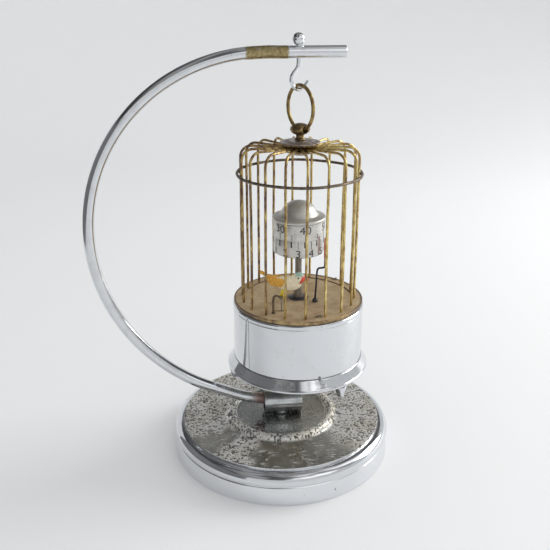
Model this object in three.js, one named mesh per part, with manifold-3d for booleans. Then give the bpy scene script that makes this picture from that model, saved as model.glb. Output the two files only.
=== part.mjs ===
// Birdcage automaton clock hanging from the hook of a curved tube stand.
// Units are millimetres, +Z is up, and the origin is the centre of the base's underside.
import * as THREE from 'three';
import { mergeVertices } from 'three/addons/utils/BufferGeometryUtils.js';
import Module from 'manifold-3d';

const wasm = await Module();
wasm.setup();

// ---------------------------------------------------------------- driving dimensions
const GAP = 0.3; // clearance between pieces that touch
const ROUND = 28; // facets around the large turned pieces

// stand
const BASE_R = 79.6; // outer radius of the base at the table
const BASE_TOP = 24.3; // height of the base's flat top
const BASE_WALL = 1.6; // thickness of the spun shell
const RIDGE_R = 37.4; // crest of the round ridge on the base's top
const DISH_Z = 24.5; // floor of the dish inside the ridge
const TUBE_R = 4; // outer radius of the arm tube, which lies in the XZ plane
const TUBE_BORE_R = 3.1;
const SOCKET_R = 8.6;
const SOCKET_Z = 33.9; // height of the socket's axis
const ARM_TOP = 284.4; // height of the arm's straight top end
const ARM_END = 41; // X of its open end

// hanging point: the ring and the clock share one vertical axis, beside the hook's stem
const HANG = 12; // X of that axis
const STEM_X = 10.4; // X of the hook's stem
const HOOK_TURN = THREE.MathUtils.degToRad(26); // direction of the hook's plane about Z
const HOOK_R = 1.3;
const HOOK_LOW = 261.2; // lowest point of the hook's centreline
const RING_WIRE_R = 1.2;
const RING_TURN = HOOK_TURN - Math.PI / 2; // direction of the ring's plane about Z
const RING_TOP = HOOK_LOW + HOOK_R + GAP + RING_WIRE_R;
const PIVOT_Z = 235.6; // where the ring runs through the finial

// clock case and cage
const FLOOR_Z = 117; // upper face of the cage's floor plate
const CASE_R = 46.1;
const CASE_LOW = 75; // lower edge of the chrome band
const FLANGE_R = 50.7;
const FLANGE_LOW = 66;
const FOOT_LOW = 57;
const CAGE_R = 39.6; // circle of the cage wires' centrelines
const WIRE_R = 0.9;
const WIRE_COUNT = 18;
const WIRE_FIRST = THREE.MathUtils.degToRad(-91.4);
const HUB_WIRE_Z = 224; // height of the wires where the hub clamps them
const SHOULDER_Z = 224.6; // height of the wires at the shoulder
const HOOP_R = CAGE_R + WIRE_R + GAP + 1;
const HOOP_Z = 206.9;

// drum that shows the time
const DRUM_R = 17.6;
const DRUM_LOW = 152;
const DRUM_SPLIT = 164; // joint between the hour band and the minute band
const DRUM_TOP = 175;
const DOME_TOP = 188;
const ARBOR_R = 1.2; // minute arbor
const PIPE_R = 2.25; // hour pipe around it

// bird on its perch: it faces +X of its own frame, which stands on the floor plate
const BIRD_SPOT = [-14.8, -22.9]; // from the clock's axis
const BIRD_TURN = THREE.MathUtils.degToRad(-7);
const BIRD_PIVOT_Z = 127.8;
const PERCH_FOOT = [-5.6, -4]; // from the bird
const PERCH_R = 0.75;
const ROCKER_REACH = 10.8; // length of the rocker under the floor plate
const ROCKER_Z = 112;

// movement
const PLATE_R = 36;
const PLATE_T = 1.2;
const BOTTOM_PLATE_R = 44.7;
const BOTTOM_PLATE_Z = CASE_LOW + 0.4;
const TOP_PLATE_Z = 103;
const MODULE_BARREL = 0.75; // gear modules
const MODULE_TRAIN = 0.7;
const MODULE_CANNON = 0.5;
const MODULE_HOUR = 0.48;

// ---------------------------------------------------------------- materials
const metal = (color, roughness) => new THREE.MeshStandardMaterial({ color, roughness, metalness: 1 });
const plain = (color, roughness) => new THREE.MeshStandardMaterial({ color, roughness, metalness: 0 });
const chrome = metal(0xd4d7da, 0.12);
const brass = metal(0x9a7a35, 0.4);
const tarnished = metal(0x85735c, 0.55);
const steel = metal(0x8d9094, 0.35);
const blackened = metal(0x1c1b1f, 0.5);
const iron = metal(0x3d3d3f, 0.8);
const silvered = metal(0xc9cbc6, 0.4);
const felt = plain(0x2c4634, 0.95);
const birdPaint = plain(0xe6dcc2, 0.6);

// ---------------------------------------------------------------- solids
const v2 = (x, y) => new THREE.Vector2(x, y);
const v3 = (x, y, z) => new THREE.Vector3(x, y, z);
const polar = (radius, angle) => [radius * Math.cos(angle), radius * Math.sin(angle)];

// Turned piece: profile points are [radius, height], up the outside and back down the inside.
function turned(profile, segments = 48) {
  const geometry = new THREE.LatheGeometry(profile.map(([r, z]) => v2(r, z)), segments);
  return geometry.rotateX(Math.PI / 2);
}

// Ring or bush of plain rectangular section.
function bush(outer, inner, low, high, segments = 24) {
  return turned([[inner, low], [outer, low], [outer, high], [inner, high], [inner, low]], segments);
}

function rod(radius, low, high, segments = 10) {
  return turned([[0, low], [radius, low], [radius, high], [0, high]], segments);
}

// Path with one section at each of its points, so straight runs stay long facets.
class Path3 extends THREE.Curve {
  constructor(points) {
    super();
    this.points = points.map((p) => v3(...p));
    this.last = points.length - 1;
  }

  getPoint(t) {
    const i = Math.min(Math.floor(t * this.last + 1e-6), this.last - 1);
    return this.points[i].clone().lerp(this.points[i + 1], t * this.last - i);
  }

  getPointAt(t) {
    return this.getPoint(t);
  }

  getTangentAt(t) {
    const i = Math.round(t * this.last);
    const along = (a, b) => this.points[b].clone().sub(this.points[a]).normalize();
    if (i === 0) return along(0, 1);
    if (i === this.last) return along(i - 1, i);
    return along(i - 1, i).add(along(i, i + 1)).normalize();
  }
}

// Round wire or tube through points; its section is a polygon of 2 * halfSides corners.
function wire(points, radius, halfSides = 4, bore = 0) {
  const section = new THREE.Shape().absarc(0, 0, radius, 0, 2 * Math.PI);
  if (bore) section.holes.push(new THREE.Path().absarc(0, 0, bore, 0, 2 * Math.PI, true));
  const extrudePath = new Path3(points);
  const steps = extrudePath.last;
  return new THREE.ExtrudeGeometry(section, { steps, extrudePath, curveSegments: halfSides });
}

// Points along a smooth curve through a few waypoints.
function smooth(points, count) {
  const curve = new THREE.CatmullRomCurve3(points.map((p) => v3(...p)), false, 'centripetal');
  return curve.getSpacedPoints(count).map((p) => p.toArray());
}

function extruded(shape, low, high, curveSegments = 12) {
  return new THREE.ExtrudeGeometry(shape, { depth: high - low, bevelEnabled: false, curveSegments })
    .translate(0, 0, low);
}

// Arc of points [x, y] about a centre, both ends included.
function arc(cx, cy, radius, from, to, count) {
  return Array.from({ length: count + 1 }, (_, i) => {
    const [x, y] = polar(radius, THREE.MathUtils.degToRad(from + ((to - from) * i) / count));
    return [cx + x, cy + y];
  });
}

function solid(geometry) {
  const bare = geometry.clone();
  bare.deleteAttribute('normal');
  bare.deleteAttribute('uv');
  const merged = mergeVertices(bare, 1e-4);
  return new wasm.Manifold(new wasm.Mesh({
    numProp: 3,
    vertProperties: new Float32Array(merged.attributes.position.array),
    triVerts: new Uint32Array(merged.index.array),
  }));
}

function geometryOf(body) {
  const mesh = body.getMesh();
  const geometry = new THREE.BufferGeometry();
  geometry.setAttribute('position', new THREE.BufferAttribute(new Float32Array(mesh.vertProperties), 3));
  geometry.setIndex(new THREE.BufferAttribute(new Uint32Array(mesh.triVerts), 1));
  return geometry;
}

const joined = (...pieces) => geometryOf(pieces.map(solid).reduce((a, b) => a.add(b)));
const cut = (piece, ...tools) => geometryOf(tools.map(solid).reduce((a, b) => a.subtract(b), solid(piece)));

// Spur gear outline with stub teeth; phase is the direction of one tooth.
function gear(teeth, module, low, high, phase = 0, bore = 0) {
  const pitch = (teeth * module) / 2;
  const step = (2 * Math.PI) / teeth;
  const corners = [[-0.31, -0.95], [-0.13, 0.7], [0.13, 0.7], [0.31, -0.95]];
  const shape = new THREE.Shape();
  for (let i = 0; i < teeth; i++) {
    corners.forEach(([along, out], k) => {
      const [x, y] = polar(pitch + out * module, phase + step * (i + along));
      if (i + k) shape.lineTo(x, y);
      else shape.moveTo(x, y);
    });
  }
  shape.closePath();
  if (bore) shape.holes.push(new THREE.Path().absarc(0, 0, bore, 0, 2 * Math.PI, true));
  return extruded(shape, low, high, 5);
}

// Phase that puts a gear in mesh with another: towards is the direction from the other gear to this one.
function meshed(otherTeeth, otherPhase, teeth, towards) {
  return towards + Math.PI + Math.PI / teeth - ((otherPhase - towards) * otherTeeth) / teeth;
}

// ---------------------------------------------------------------- scene graph
const root = new THREE.Group();
const clock = new THREE.Group(); // Z is the clock's own axis
clock.position.x = HANG;
const nest = new THREE.Group(); // the bird's frame
nest.position.set(...BIRD_SPOT, 0);
nest.rotation.z = BIRD_TURN;
root.add(clock);
clock.add(nest);

function add(parent, name, geometry, material) {
  const mesh = new THREE.Mesh(geometry, material);
  mesh.name = name;
  parent.add(mesh);
  return mesh;
}

// ---------------------------------------------------------------- base
function baseShell() {
  const beadR = 6.7;
  const [beadX, beadZ] = [72.8, 16];
  const topR = beadX - 0.6; // edge of the flat top, a small step above the bead
  const outside = [
    [BASE_R, 0], [BASE_R - 0.3, 5], [BASE_R - 1, 12.6], [BASE_R - 1.9, 13.4], [BASE_R - 1.3, 14.2],
    ...arc(beadX, beadZ, beadR, -8, 92, 4), [topR + 0.2, BASE_TOP - 1.4], [topR + 0.2, BASE_TOP - 0.2],
    [topR, BASE_TOP], [RIDGE_R + 4.4, BASE_TOP], ...arc(RIDGE_R, BASE_TOP + 0.2, 3.5, 10, 165, 4),
    [RIDGE_R - 4.2, DISH_Z],
  ];
  const hole = 3.3;
  const inside = [
    [hole, DISH_Z], [hole, BASE_TOP - BASE_WALL], [71, BASE_TOP - BASE_WALL],
    ...arc(beadX, beadZ, beadR - BASE_WALL, 88, 0, 2),
    [BASE_R - 3.6, 13], [BASE_R - 2.4, 9], [BASE_R - 2.2, 0],
  ];
  return turned([...outside, ...inside, outside[0]], ROUND);
}

add(root, 'base_shell', baseShell(), chrome);
const WEIGHT_TOP = BASE_TOP - BASE_WALL - GAP;
const weight = [
  [12, 11], [60, 11], [62, 13], [62, 20], [60, WEIGHT_TOP], [3.4, WEIGHT_TOP], [3.4, 16], [12, 16], [12, 11],
];
add(root, 'base_weight', turned(weight, ROUND), iron);
add(root, 'base_pad', rod(BASE_R - 2.8, 0, 1.8, ROUND), felt);

// ---------------------------------------------------------------- arm, socket and bolt
// The bend is a slightly oval ring, long towards its upper left.
function bend(angle) {
  const radius = 123.2 + 2.6 * Math.cos(2 * (angle - (3 * Math.PI) / 4));
  const [x, z] = polar(radius, angle);
  return [x - 5.9, 0, z + 161.2];
}

function armTube() {
  const bendPoints = Array.from({ length: 17 }, (_, i) => bend(THREE.MathUtils.degToRad(92 + 10 * i)));
  const tube = wire([
    [ARM_END, 0, ARM_TOP], [22, 0, ARM_TOP], [0, 0, ARM_TOP], ...bendPoints,
    [-27.5, 0, 39.2], [-14.5, 0, 36.4], [-5.5, 0, SOCKET_Z + 0.8], [1.5, 0, SOCKET_Z], [7.5, 0, SOCKET_Z],
  ], TUBE_R, 4, TUBE_BORE_R);
  const hookHole = rod(HOOK_R + GAP, ARM_TOP - 8, ARM_TOP + 8).translate(STEM_X, 0, 0);
  return cut(tube, hookHole);
}

function armSocket() {
  const left = -12.9;
  const length = 28;
  const mouth = 7.4; // open bore around the tube's last bend
  const cylinder = turned([
    [0, 0], [SOCKET_R - 0.5, 0], [SOCKET_R, 0.6],
    [SOCKET_R, length - 0.6], [SOCKET_R - 0.5, length], [0, length],
  ], 20);
  const bore = turned([
    [0, -1], [mouth, -1], [mouth, 13], [TUBE_R + GAP, 14.4], [TUBE_R + GAP, 22], [0, 22],
  ], 16);
  const laid = (geometry) => geometry.rotateY(Math.PI / 2).translate(left, 0, SOCKET_Z);
  const seat = rod(5.2, DISH_Z + GAP, SOCKET_Z - 6.4, 12);
  const boltHole = rod(2.9, DISH_Z - 1, SOCKET_Z, 10);
  return cut(joined(laid(cylinder), seat), laid(bore), boltHole);
}

function socketBolt() {
  const head = turned([[0, 10], [5.4, 10], [5.4, 14.4], [0, 14.4]], 6);
  const washer = rod(8, 14.3, 15.6, 16);
  const shank = rod(2.5, 15.5, SOCKET_Z - TUBE_R - 2 * GAP, 10);
  return joined(head, washer, shank);
}

add(root, 'arm_tube', armTube(), chrome);
add(root, 'arm_socket', armSocket(), chrome);
add(root, 'socket_bolt', socketBolt(), steel);

// ---------------------------------------------------------------- hook, ball nut and ring
const BALL_R = 4;
const BALL_SEAT = ARM_TOP + TUBE_R + GAP; // its flat underside
const BALL_Z = BALL_SEAT + 3.5;

const hanger = new THREE.Group(); // X is in the plane of the hook's bend
hanger.position.x = HANG;
hanger.rotation.z = HOOK_TURN;
root.add(hanger);
const STEM = polar(STEM_X - HANG, -HOOK_TURN);

function hookRod() {
  const hookBend = smooth([
    [...STEM, 277.8], [-2.2, 0.5, 275.2], [-3.6, 0.3, 273.4], [-5.5, 0.1, 271.6], [-6.9, 0, 269.5],
    [-7.2, 0, 267.3], [-6.3, 0, 264.7], [-4.3, 0, 262.5], [-2, 0, 261.4], [0, 0, HOOK_LOW],
    [2.3, 0, 262], [4.2, 0, 263.9], [6, 0, 266.1],
  ], 17);
  return wire([[...STEM, BALL_Z], ...hookBend], HOOK_R, 4);
}

function ballNut() {
  const ball = new THREE.SphereGeometry(BALL_R, 10, 7).rotateX(Math.PI / 2).translate(0, 0, BALL_Z);
  const below = rod(BALL_R + 1, BALL_SEAT - 3, BALL_SEAT);
  return cut(ball, below, rod(HOOK_R + GAP, BALL_Z - 5, BALL_Z + 1)).translate(...STEM, 0);
}

add(hanger, 'hook_rod', hookRod(), chrome);
add(hanger, 'ball_nut', ballNut(), chrome);

const RING_R = (RING_TOP - PIVOT_Z) / 2;
const ring = new THREE.TorusGeometry(RING_R, RING_WIRE_R, 6, 26).rotateX(Math.PI / 2);
const ringMesh = add(clock, 'hanging_ring', ring, brass);
ringMesh.position.z = PIVOT_Z + RING_R;
ringMesh.rotation.z = RING_TURN;

// ---------------------------------------------------------------- finial and discs
function finial() {
  const centre = PIVOT_Z + 0.5;
  const [ballR, ballH] = [6.6, 3.9];
  const profile = [
    [0, 219], [2, 219], [2, 229.2], [3.7, 229.2], [3.6, 230], [2.9, 230.5], [2.6, 231.2],
    ...arc(0, 0, 1, -66, 78, 5).map(([x, z]) => [ballR * x, centre + ballH * z]), [0, centre + ballH],
  ];
  const hole = rod(2.1, -9, 9, 10).rotateY(Math.PI / 2).rotateZ(RING_TURN).translate(0, 0, PIVOT_Z + 0.75);
  return cut(turned(profile, 14), hole);
}

add(clock, 'finial', finial(), brass);
const topDisc = [
  [2.4, 225.2], [10.4, 225.2], [12.8, 226.7], [13.3, 227.2], [13.3, 228], [9, 228.6], [6, 228.9],
  [2.4, 228.9], [2.4, 225.2],
];
add(clock, 'top_disc', turned(topDisc, 18), tarnished);
const underDisc = [[2.4, 219.4], [5, 219.4], [10.6, 221.6], [10.8, 222.8], [2.4, 222.8], [2.4, 219.4]];
add(clock, 'under_disc', turned(underDisc, 18), brass);

// ---------------------------------------------------------------- cage
const wireAngles = Array.from({ length: WIRE_COUNT }, (_, i) => WIRE_FIRST + (i * 2 * Math.PI) / WIRE_COUNT);

function cageWire() {
  const bendR = 7.5;
  const shoulder = arc(CAGE_R - bendR, SHOULDER_Z - bendR, bendR, 86, 4, 3).map(([r, z]) => [r, 0, z]);
  return wire([[6.2, 0, HUB_WIRE_Z], [14, 0, HUB_WIRE_Z], ...shoulder, [CAGE_R, 0, 113]], WIRE_R, 3);
}

wireAngles.forEach((angle, i) => {
  const name = 'cage_wire_' + String(i + 1).padStart(2, '0');
  add(clock, name, cageWire(), brass).rotation.z = angle;
});
add(clock, 'cage_hoop', new THREE.TorusGeometry(HOOP_R, 1, 5, 36).translate(0, 0, HOOP_Z), tarnished);

const POINTER_FOOT = [10.6, -9.5];
const POINTER_KNEE = [11.6, -9.7];
const POINTER_TIP = polar(20.6, THREE.MathUtils.degToRad(-37));

function floorPlate() {
  const plateR = 45.6;
  const plate = turned([
    [3.4, FLOOR_Z - 1.4], [plateR, FLOOR_Z - 1.4], [plateR, FLOOR_Z + 0.7], [plateR - 0.7, FLOOR_Z + 1.1],
    [plateR - 1.6, FLOOR_Z + 0.8], [plateR - 2.2, FLOOR_Z], [3.4, FLOOR_Z], [3.4, FLOOR_Z - 1.4],
  ], ROUND);
  const through = (radius, x, y) => rod(radius, FLOOR_Z - 4, FLOOR_Z + 4, 6).translate(x, y, 0);
  const inNest = (geometry) => geometry.rotateZ(BIRD_TURN).translate(...BIRD_SPOT, 0);
  const wireHoles = wireAngles.map((angle) => through(WIRE_R + 0.35, ...polar(CAGE_R, angle)));
  const shankSlot = new THREE.BoxGeometry(9, 2, 8).translate(-1, 0, FLOOR_Z);
  const perchHole = inNest(through(PERCH_R + 0.35, ...PERCH_FOOT));
  return cut(plate, ...wireHoles, through(1.1, ...POINTER_FOOT), perchHole, inNest(shankSlot));
}

add(clock, 'floor_plate', floorPlate(), tarnished);

// ---------------------------------------------------------------- case
const band = [
  [CASE_R - 1, CASE_LOW + GAP], [CASE_R, CASE_LOW + GAP], [CASE_R, 111.8], [CASE_R + 0.1, 112.2],
  ...arc(CASE_R - 1.4, 113.7, 1.5, -20, 95, 3),
  [CASE_R - 1.9, 114.6], [CASE_R - 1, 112.4], [CASE_R - 1, CASE_LOW + GAP],
];
add(clock, 'case_band', turned(band, ROUND), chrome);
const LEDGE = FLANGE_LOW + 0.9; // step inside the flange that carries the bottom cover
const flange = [
  [42.9, FLANGE_LOW], [FLANGE_R - 1.2, FLANGE_LOW], ...arc(FLANGE_R - 1.3, FLANGE_LOW + 1.7, 1.3, -45, 75, 2),
  [FLANGE_R - 2.2, 70.6], [CASE_R + 1, 73], [CASE_R + 0.3, CASE_LOW], [44.4, CASE_LOW], [44.4, LEDGE],
  [42.9, LEDGE], [42.9, FLANGE_LOW],
];
add(clock, 'case_flange', turned(flange, ROUND), chrome);

const BARREL_DISTANCE = (MODULE_BARREL * (48 + 8)) / 2;
const BARREL_TURN = THREE.MathUtils.degToRad(150);
const BARREL = polar(BARREL_DISTANCE, BARREL_TURN);

const coverHole = (radius, x, y) => rod(radius, 60, 72, 12).translate(x, y, 0);
const cover = rod(43.9, LEDGE + GAP, LEDGE + 1.4, ROUND);
add(clock, 'bottom_cover', cut(cover, coverHole(2.2, 0, 0), coverHole(2.6, ...BARREL)), steel);

const footProfile = [
  [0, FOOT_LOW], [1.8, FOOT_LOW], [2.3, FOOT_LOW + 0.6],
  [3.9, 64.4], [4, FLANGE_LOW - GAP], [0, FLANGE_LOW - GAP],
];
[-58, 62, 182].forEach((degrees, i) => {
  const [x, y] = polar(46.2, THREE.MathUtils.degToRad(degrees));
  add(clock, 'foot_' + (i + 1), turned(footProfile, 10), chrome).position.set(x, y, 0);
});

// ---------------------------------------------------------------- pointer, bush and perch
function pointer() {
  const between = (share) => [0, 1].map((k) => POINTER_KNEE[k] + share * (POINTER_TIP[k] - POINTER_KNEE[k]));
  const stem = wire([
    [...POINTER_FOOT, FLOOR_Z - 2], [...POINTER_FOOT, 119], [...POINTER_KNEE, 139.8],
    [...between(0.1), 141.4], [...between(0.3), 142.3], [...between(0.8), 143], [...between(0.96), 143.8],
    [...POINTER_TIP, 145.4], [...POINTER_TIP, 152],
  ], 0.7, 4);
  const [x, y] = POINTER_TIP;
  const tip = new THREE.BoxGeometry(1, 2.7, 14.5).rotateZ(Math.atan2(y, x)).translate(x, y, 157.4);
  const collar = rod(1.9, FLOOR_Z + GAP, FLOOR_Z + 2.6, 12).translate(...POINTER_FOOT, 0);
  return joined(stem, tip, collar);
}

add(clock, 'pointer', pointer(), blackened);
const bushInner = PIPE_R + GAP;
add(clock, 'shaft_bush', turned([
  [bushInner, 112.5], [3.1, 112.5], [3.1, 126.6], [2.8, 127.6], [bushInner, 127.6], [bushInner, 112.5],
], 14), steel);

function perch() {
  const bend = smooth([
    [...PERCH_FOOT, 127.2], [-4.9, -4, 129.4], [-3.2, -4.1, 129.8], [-1.4, -4.1, 129],
    [-0.3, -3.7, BIRD_PIVOT_Z], [0, -2.4, BIRD_PIVOT_Z],
  ], 9);
  const post = [[...PERCH_FOOT, FLOOR_Z - 2], [...PERCH_FOOT, 125.6]];
  return wire([...post, ...bend, [0, 3, BIRD_PIVOT_Z]], PERCH_R, 4);
}

add(nest, 'perch', perch(), tarnished);

// ---------------------------------------------------------------- bird
// Egg shape along X, tipped nose down about Y; heights are above the bird's pivot.
function egg(length, width, height, x, z, tip) {
  const ball = new THREE.SphereGeometry(1, 10, 6).rotateZ(Math.PI / 2);
  return ball.scale(length, width, height).rotateY(tip).translate(x, 0, z);
}

function birdBody() {
  const body = egg(9.4, 4.4, 5, 3.8, 9.4, 0.12);
  const rump = egg(8, 3.2, 3, -4, 11.4, 0.35);
  const head = egg(4.2, 3.6, 3.9, 11.6, 13.4, 0.3);
  const beak = new THREE.ConeGeometry(1.4, 4.6, 6).rotateZ(-Math.PI / 2).rotateY(0.35)
    .translate(16.4, 0, 12.2);
  const tail = new THREE.BoxGeometry(7, 3.2, 1).rotateY(0.55).translate(-10.6, 0, 15.6);
  const leg = new THREE.BoxGeometry(2, 1.6, 8).translate(0.2, 0, 3.4);
  const shank = rod(0.5, -16.5, 0, 6);
  const eye = rod(1.8, -1.2, 1.2, 12).rotateX(Math.PI / 2);
  const hole = rod(PERCH_R + 0.35, -4, 4, 12).rotateX(Math.PI / 2);
  return cut(joined(body, rump, head, beak, tail, leg, shank, eye), hole);
}

add(nest, 'bird', birdBody(), birdPaint).position.z = BIRD_PIVOT_Z;

// ---------------------------------------------------------------- drum
const shellT = 1;
const minuteBand = [
  [ARBOR_R + GAP, DRUM_TOP - 1], [DRUM_R - shellT, DRUM_TOP - 1], [DRUM_R - shellT, DRUM_SPLIT + GAP],
  [DRUM_R, DRUM_SPLIT + GAP], [DRUM_R, DRUM_TOP], [ARBOR_R + GAP, DRUM_TOP], [ARBOR_R + GAP, DRUM_TOP - 1],
];
add(clock, 'minute_band', turned(minuteBand, 24), silvered);
const hourBand = [
  [PIPE_R + GAP, DRUM_LOW], [DRUM_R - 1, DRUM_LOW], [DRUM_R, DRUM_LOW + 0.6], [DRUM_R, DRUM_SPLIT],
  [DRUM_R - shellT, DRUM_SPLIT], [DRUM_R - shellT, DRUM_LOW + 1],
  [PIPE_R + GAP, DRUM_LOW + 1], [PIPE_R + GAP, DRUM_LOW],
];
add(clock, 'hour_band', turned(hourBand, 24), silvered);

function domeCap() {
  const brim = DRUM_R + 0.9;
  const low = DRUM_TOP + GAP;
  const domeR = 12.6;
  const rise = DOME_TOP - low - 2.4;
  const dome = (scale) => arc(0, 0, scale, 4, 80, 4).map(([x, z]) => [domeR * x, low + 2.2 + rise * z]);
  return turned([
    [domeR - 1, low], [brim, low], [brim + 0.1, low + 1.6], [brim - 0.6, low + 2.1], ...dome(1),
    [0, DOME_TOP - 0.2], [0, DOME_TOP - 1.2], ...dome(0.92).reverse(), [domeR - 1, low],
  ], 20);
}

add(clock, 'dome_cap', domeCap(), silvered);

// ---------------------------------------------------------------- movement: plates
const plateHole = (radius, x, y, z) => rod(radius, z - 3, z + 3, 12).translate(x, y, 0);

const WHEEL_TEETH = 32; // of the centre wheel and the third wheel
const LEAVES = 8; // of the third and escape pinions
const TRAIN_DISTANCE = (MODULE_TRAIN * (WHEEL_TEETH + LEAVES)) / 2;
const THIRD_TURN = THREE.MathUtils.degToRad(-30);
const THIRD = polar(TRAIN_DISTANCE, THIRD_TURN);
const ESCAPE_TURN = THREE.MathUtils.degToRad(-100);
const ESCAPE = polar(TRAIN_DISTANCE, ESCAPE_TURN).map((d, i) => d + THIRD[i]);
const LEVER = [ESCAPE[0] - 10.4, ESCAPE[1] - 1.6];
const BALANCE = [ESCAPE[0] - 22.4, ESCAPE[1] - 1.6];
const MOTION_TURN = Math.PI / 2;
const MOTION = polar((MODULE_CANNON * (12 + 36)) / 2, MOTION_TURN);
const ROCKER = [ // straight behind the bird, so that the rocker's end moves along the bird
  BIRD_SPOT[0] - ROCKER_REACH * Math.sin(BIRD_TURN),
  BIRD_SPOT[1] + ROCKER_REACH * Math.cos(BIRD_TURN),
];

const around = (radius, ...degrees) => degrees.map((angle) => polar(radius, THREE.MathUtils.degToRad(angle)));
const arborHoles = (z) => [
  plateHole(ARBOR_R + GAP, 0, 0, z), plateHole(2.3, ...BARREL, z),
  ...[THIRD, ESCAPE, LEVER, BALANCE].map((spot) => plateHole(0.9, ...spot, z)),
];

function bottomPlate() {
  const plate = rod(BOTTOM_PLATE_R, BOTTOM_PLATE_Z, BOTTOM_PLATE_Z + PLATE_T, ROUND);
  const pillars = around(33.4, 20, 105, 205, 305).map(([x, y]) =>
    rod(2, BOTTOM_PLATE_Z + 0.2, TOP_PLATE_Z - GAP, 10).translate(x, y, 0));
  return cut(joined(plate, ...pillars), ...arborHoles(BOTTOM_PLATE_Z));
}

function topPlate() {
  const stud = (radius, x, y, high) => rod(radius, TOP_PLATE_Z + 0.2, high, 10).translate(x, y, 0);
  const floorPosts = around(32, 50, 170, 330).map(([x, y]) => stud(1.6, x, y, FLOOR_Z - 1.4 - GAP));
  const plate = rod(PLATE_R, TOP_PLATE_Z, TOP_PLATE_Z + PLATE_T, ROUND);
  return cut(
    joined(plate, ...floorPosts, stud(0.8, ...MOTION, 111.6), stud(0.8, ...ROCKER, ROCKER_Z + 1.4)),
    ...arborHoles(TOP_PLATE_Z),
  );
}

add(clock, 'bottom_plate', bottomPlate(), brass);
add(clock, 'top_plate', topPlate(), brass);

// ---------------------------------------------------------------- movement: wheels
const onArbor = (spot, geometry) => geometry.translate(spot[0], spot[1], 0);
const pivots = (radius) => joined(rod(radius, 77.2, 102.4, 10), rod(0.6, 75.6, 103.8, 8));

// Minute arbor: centre pinion and centre wheel between the plates, cannon pinion above, drum at the top.
function minuteArbor() {
  return joined(
    rod(ARBOR_R, 64.4, DRUM_TOP + 4), gear(8, MODULE_BARREL, 83, 87.6),
    gear(WHEEL_TEETH, MODULE_TRAIN, 98.4, 99.6), gear(12, MODULE_CANNON, 106, 108.2),
  );
}

add(clock, 'minute_arbor', minuteArbor(), steel);
add(clock, 'setting_knob', cut(rod(5, 59, 65, 20), rod(ARBOR_R + 0.1, 64, 66)), brass);

function barrel() {
  const phase = meshed(8, 0, 48, BARREL_TURN);
  const drum = turned([
    [2.6, 84], [16.4, 84], [16.4, 96.4], [15.4, 96.4], [15.4, 86.4], [2.6, 86.4], [2.6, 84],
  ], 24);
  return onArbor(BARREL, joined(gear(48, MODULE_BARREL, 84, 86, phase, 2.6), drum));
}

// Mainspring: a flat spiral strip wound from the arbor to the barrel's wall.
function mainspring() {
  const turns = 4;
  const count = turns * 12;
  const inner = 3.9;
  const pitch = 2.6;
  const edge = (offset) => Array.from({ length: count + 1 }, (_, i) =>
    v2(...polar(inner + offset + (pitch * i) / 12, (2 * Math.PI * i) / 12)));
  const shape = new THREE.Shape([...edge(0), ...edge(0.5).reverse()]);
  return onArbor(BARREL, extruded(shape, 87, 95.6));
}

add(clock, 'barrel', barrel(), brass);
add(clock, 'mainspring', mainspring(), steel);
const windingArbor = joined(rod(2, 69.2, 104.6), rod(3.4, 87, 95.6, 16), gear(18, 0.8, 71, 73));
add(clock, 'winding_arbor', onArbor(BARREL, windingArbor), steel);

function windingKey() {
  const wing = new THREE.Shape().absarc(0, 0, 5, 0, 2 * Math.PI);
  wing.holes.push(new THREE.Path().absarc(0, 0, 2.4, 0, 2 * Math.PI, true));
  const bow = (side) => extruded(wing, -0.9, 0.9, 5).rotateX(Math.PI / 2).translate(side * 5.6, 0, 59.6);
  return onArbor(BARREL, joined(rod(2.3, 57, 68.2), bow(1), bow(-1)));
}

add(clock, 'winding_key', windingKey(), brass);

const THIRD_PHASE = meshed(WHEEL_TEETH, 0, LEAVES, THIRD_TURN);
const thirdPinion = gear(LEAVES, MODULE_TRAIN, 97.4, 100.4, THIRD_PHASE);
const thirdWheel = gear(WHEEL_TEETH, MODULE_TRAIN, 89.2, 90.4, THIRD_PHASE);
add(clock, 'third_wheel', onArbor(THIRD, joined(pivots(1), thirdPinion, thirdWheel)), brass);

// Escape wheel with pointed, leaning teeth.
function escapeTeeth() {
  const shape = new THREE.Shape();
  for (let i = 0; i < 15; i++) {
    const start = (i * 2 * Math.PI) / 15;
    const [rootX, rootY] = polar(5, start);
    const [tipX, tipY] = polar(6.8, start + 0.12);
    const [backX, backY] = polar(5, start + 0.2);
    if (i) shape.lineTo(rootX, rootY);
    else shape.moveTo(rootX, rootY);
    shape.lineTo(tipX, tipY);
    shape.lineTo(backX, backY);
  }
  shape.closePath();
  return extruded(shape, 94, 95);
}

const ESCAPE_PHASE = meshed(WHEEL_TEETH, THIRD_PHASE, LEAVES, ESCAPE_TURN);
const escapePinion = gear(LEAVES, MODULE_TRAIN, 88.4, 91.2, ESCAPE_PHASE);
add(clock, 'escape_wheel', onArbor(ESCAPE, joined(pivots(0.9), escapePinion, escapeTeeth())), brass);

function palletLever() {
  const beam = new THREE.BoxGeometry(2, 12, 1).translate(0, 0, 94.5);
  const block = () => new THREE.BoxGeometry(2.6, 1, 1);
  const pallet = (side) => block().rotateZ(side * 0.5).translate(1.6, side * 5.6, 94.5);
  const fork = new THREE.BoxGeometry(7, 1, 1).translate(-4, 0, 94.5);
  return onArbor(LEVER, joined(pivots(0.8), beam, pallet(1), pallet(-1), fork));
}

add(clock, 'pallet_lever', palletLever(), steel);

function balanceWheel() {
  const rim = bush(8.6, 7.4, 90.6, 92, 20);
  const spoke = new THREE.BoxGeometry(15.6, 1.4, 1).translate(0, 0, 91.2);
  return onArbor(BALANCE, joined(pivots(0.7), rim, spoke, rod(2, 94, 95)));
}

add(clock, 'balance_wheel', balanceWheel(), brass);

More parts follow.
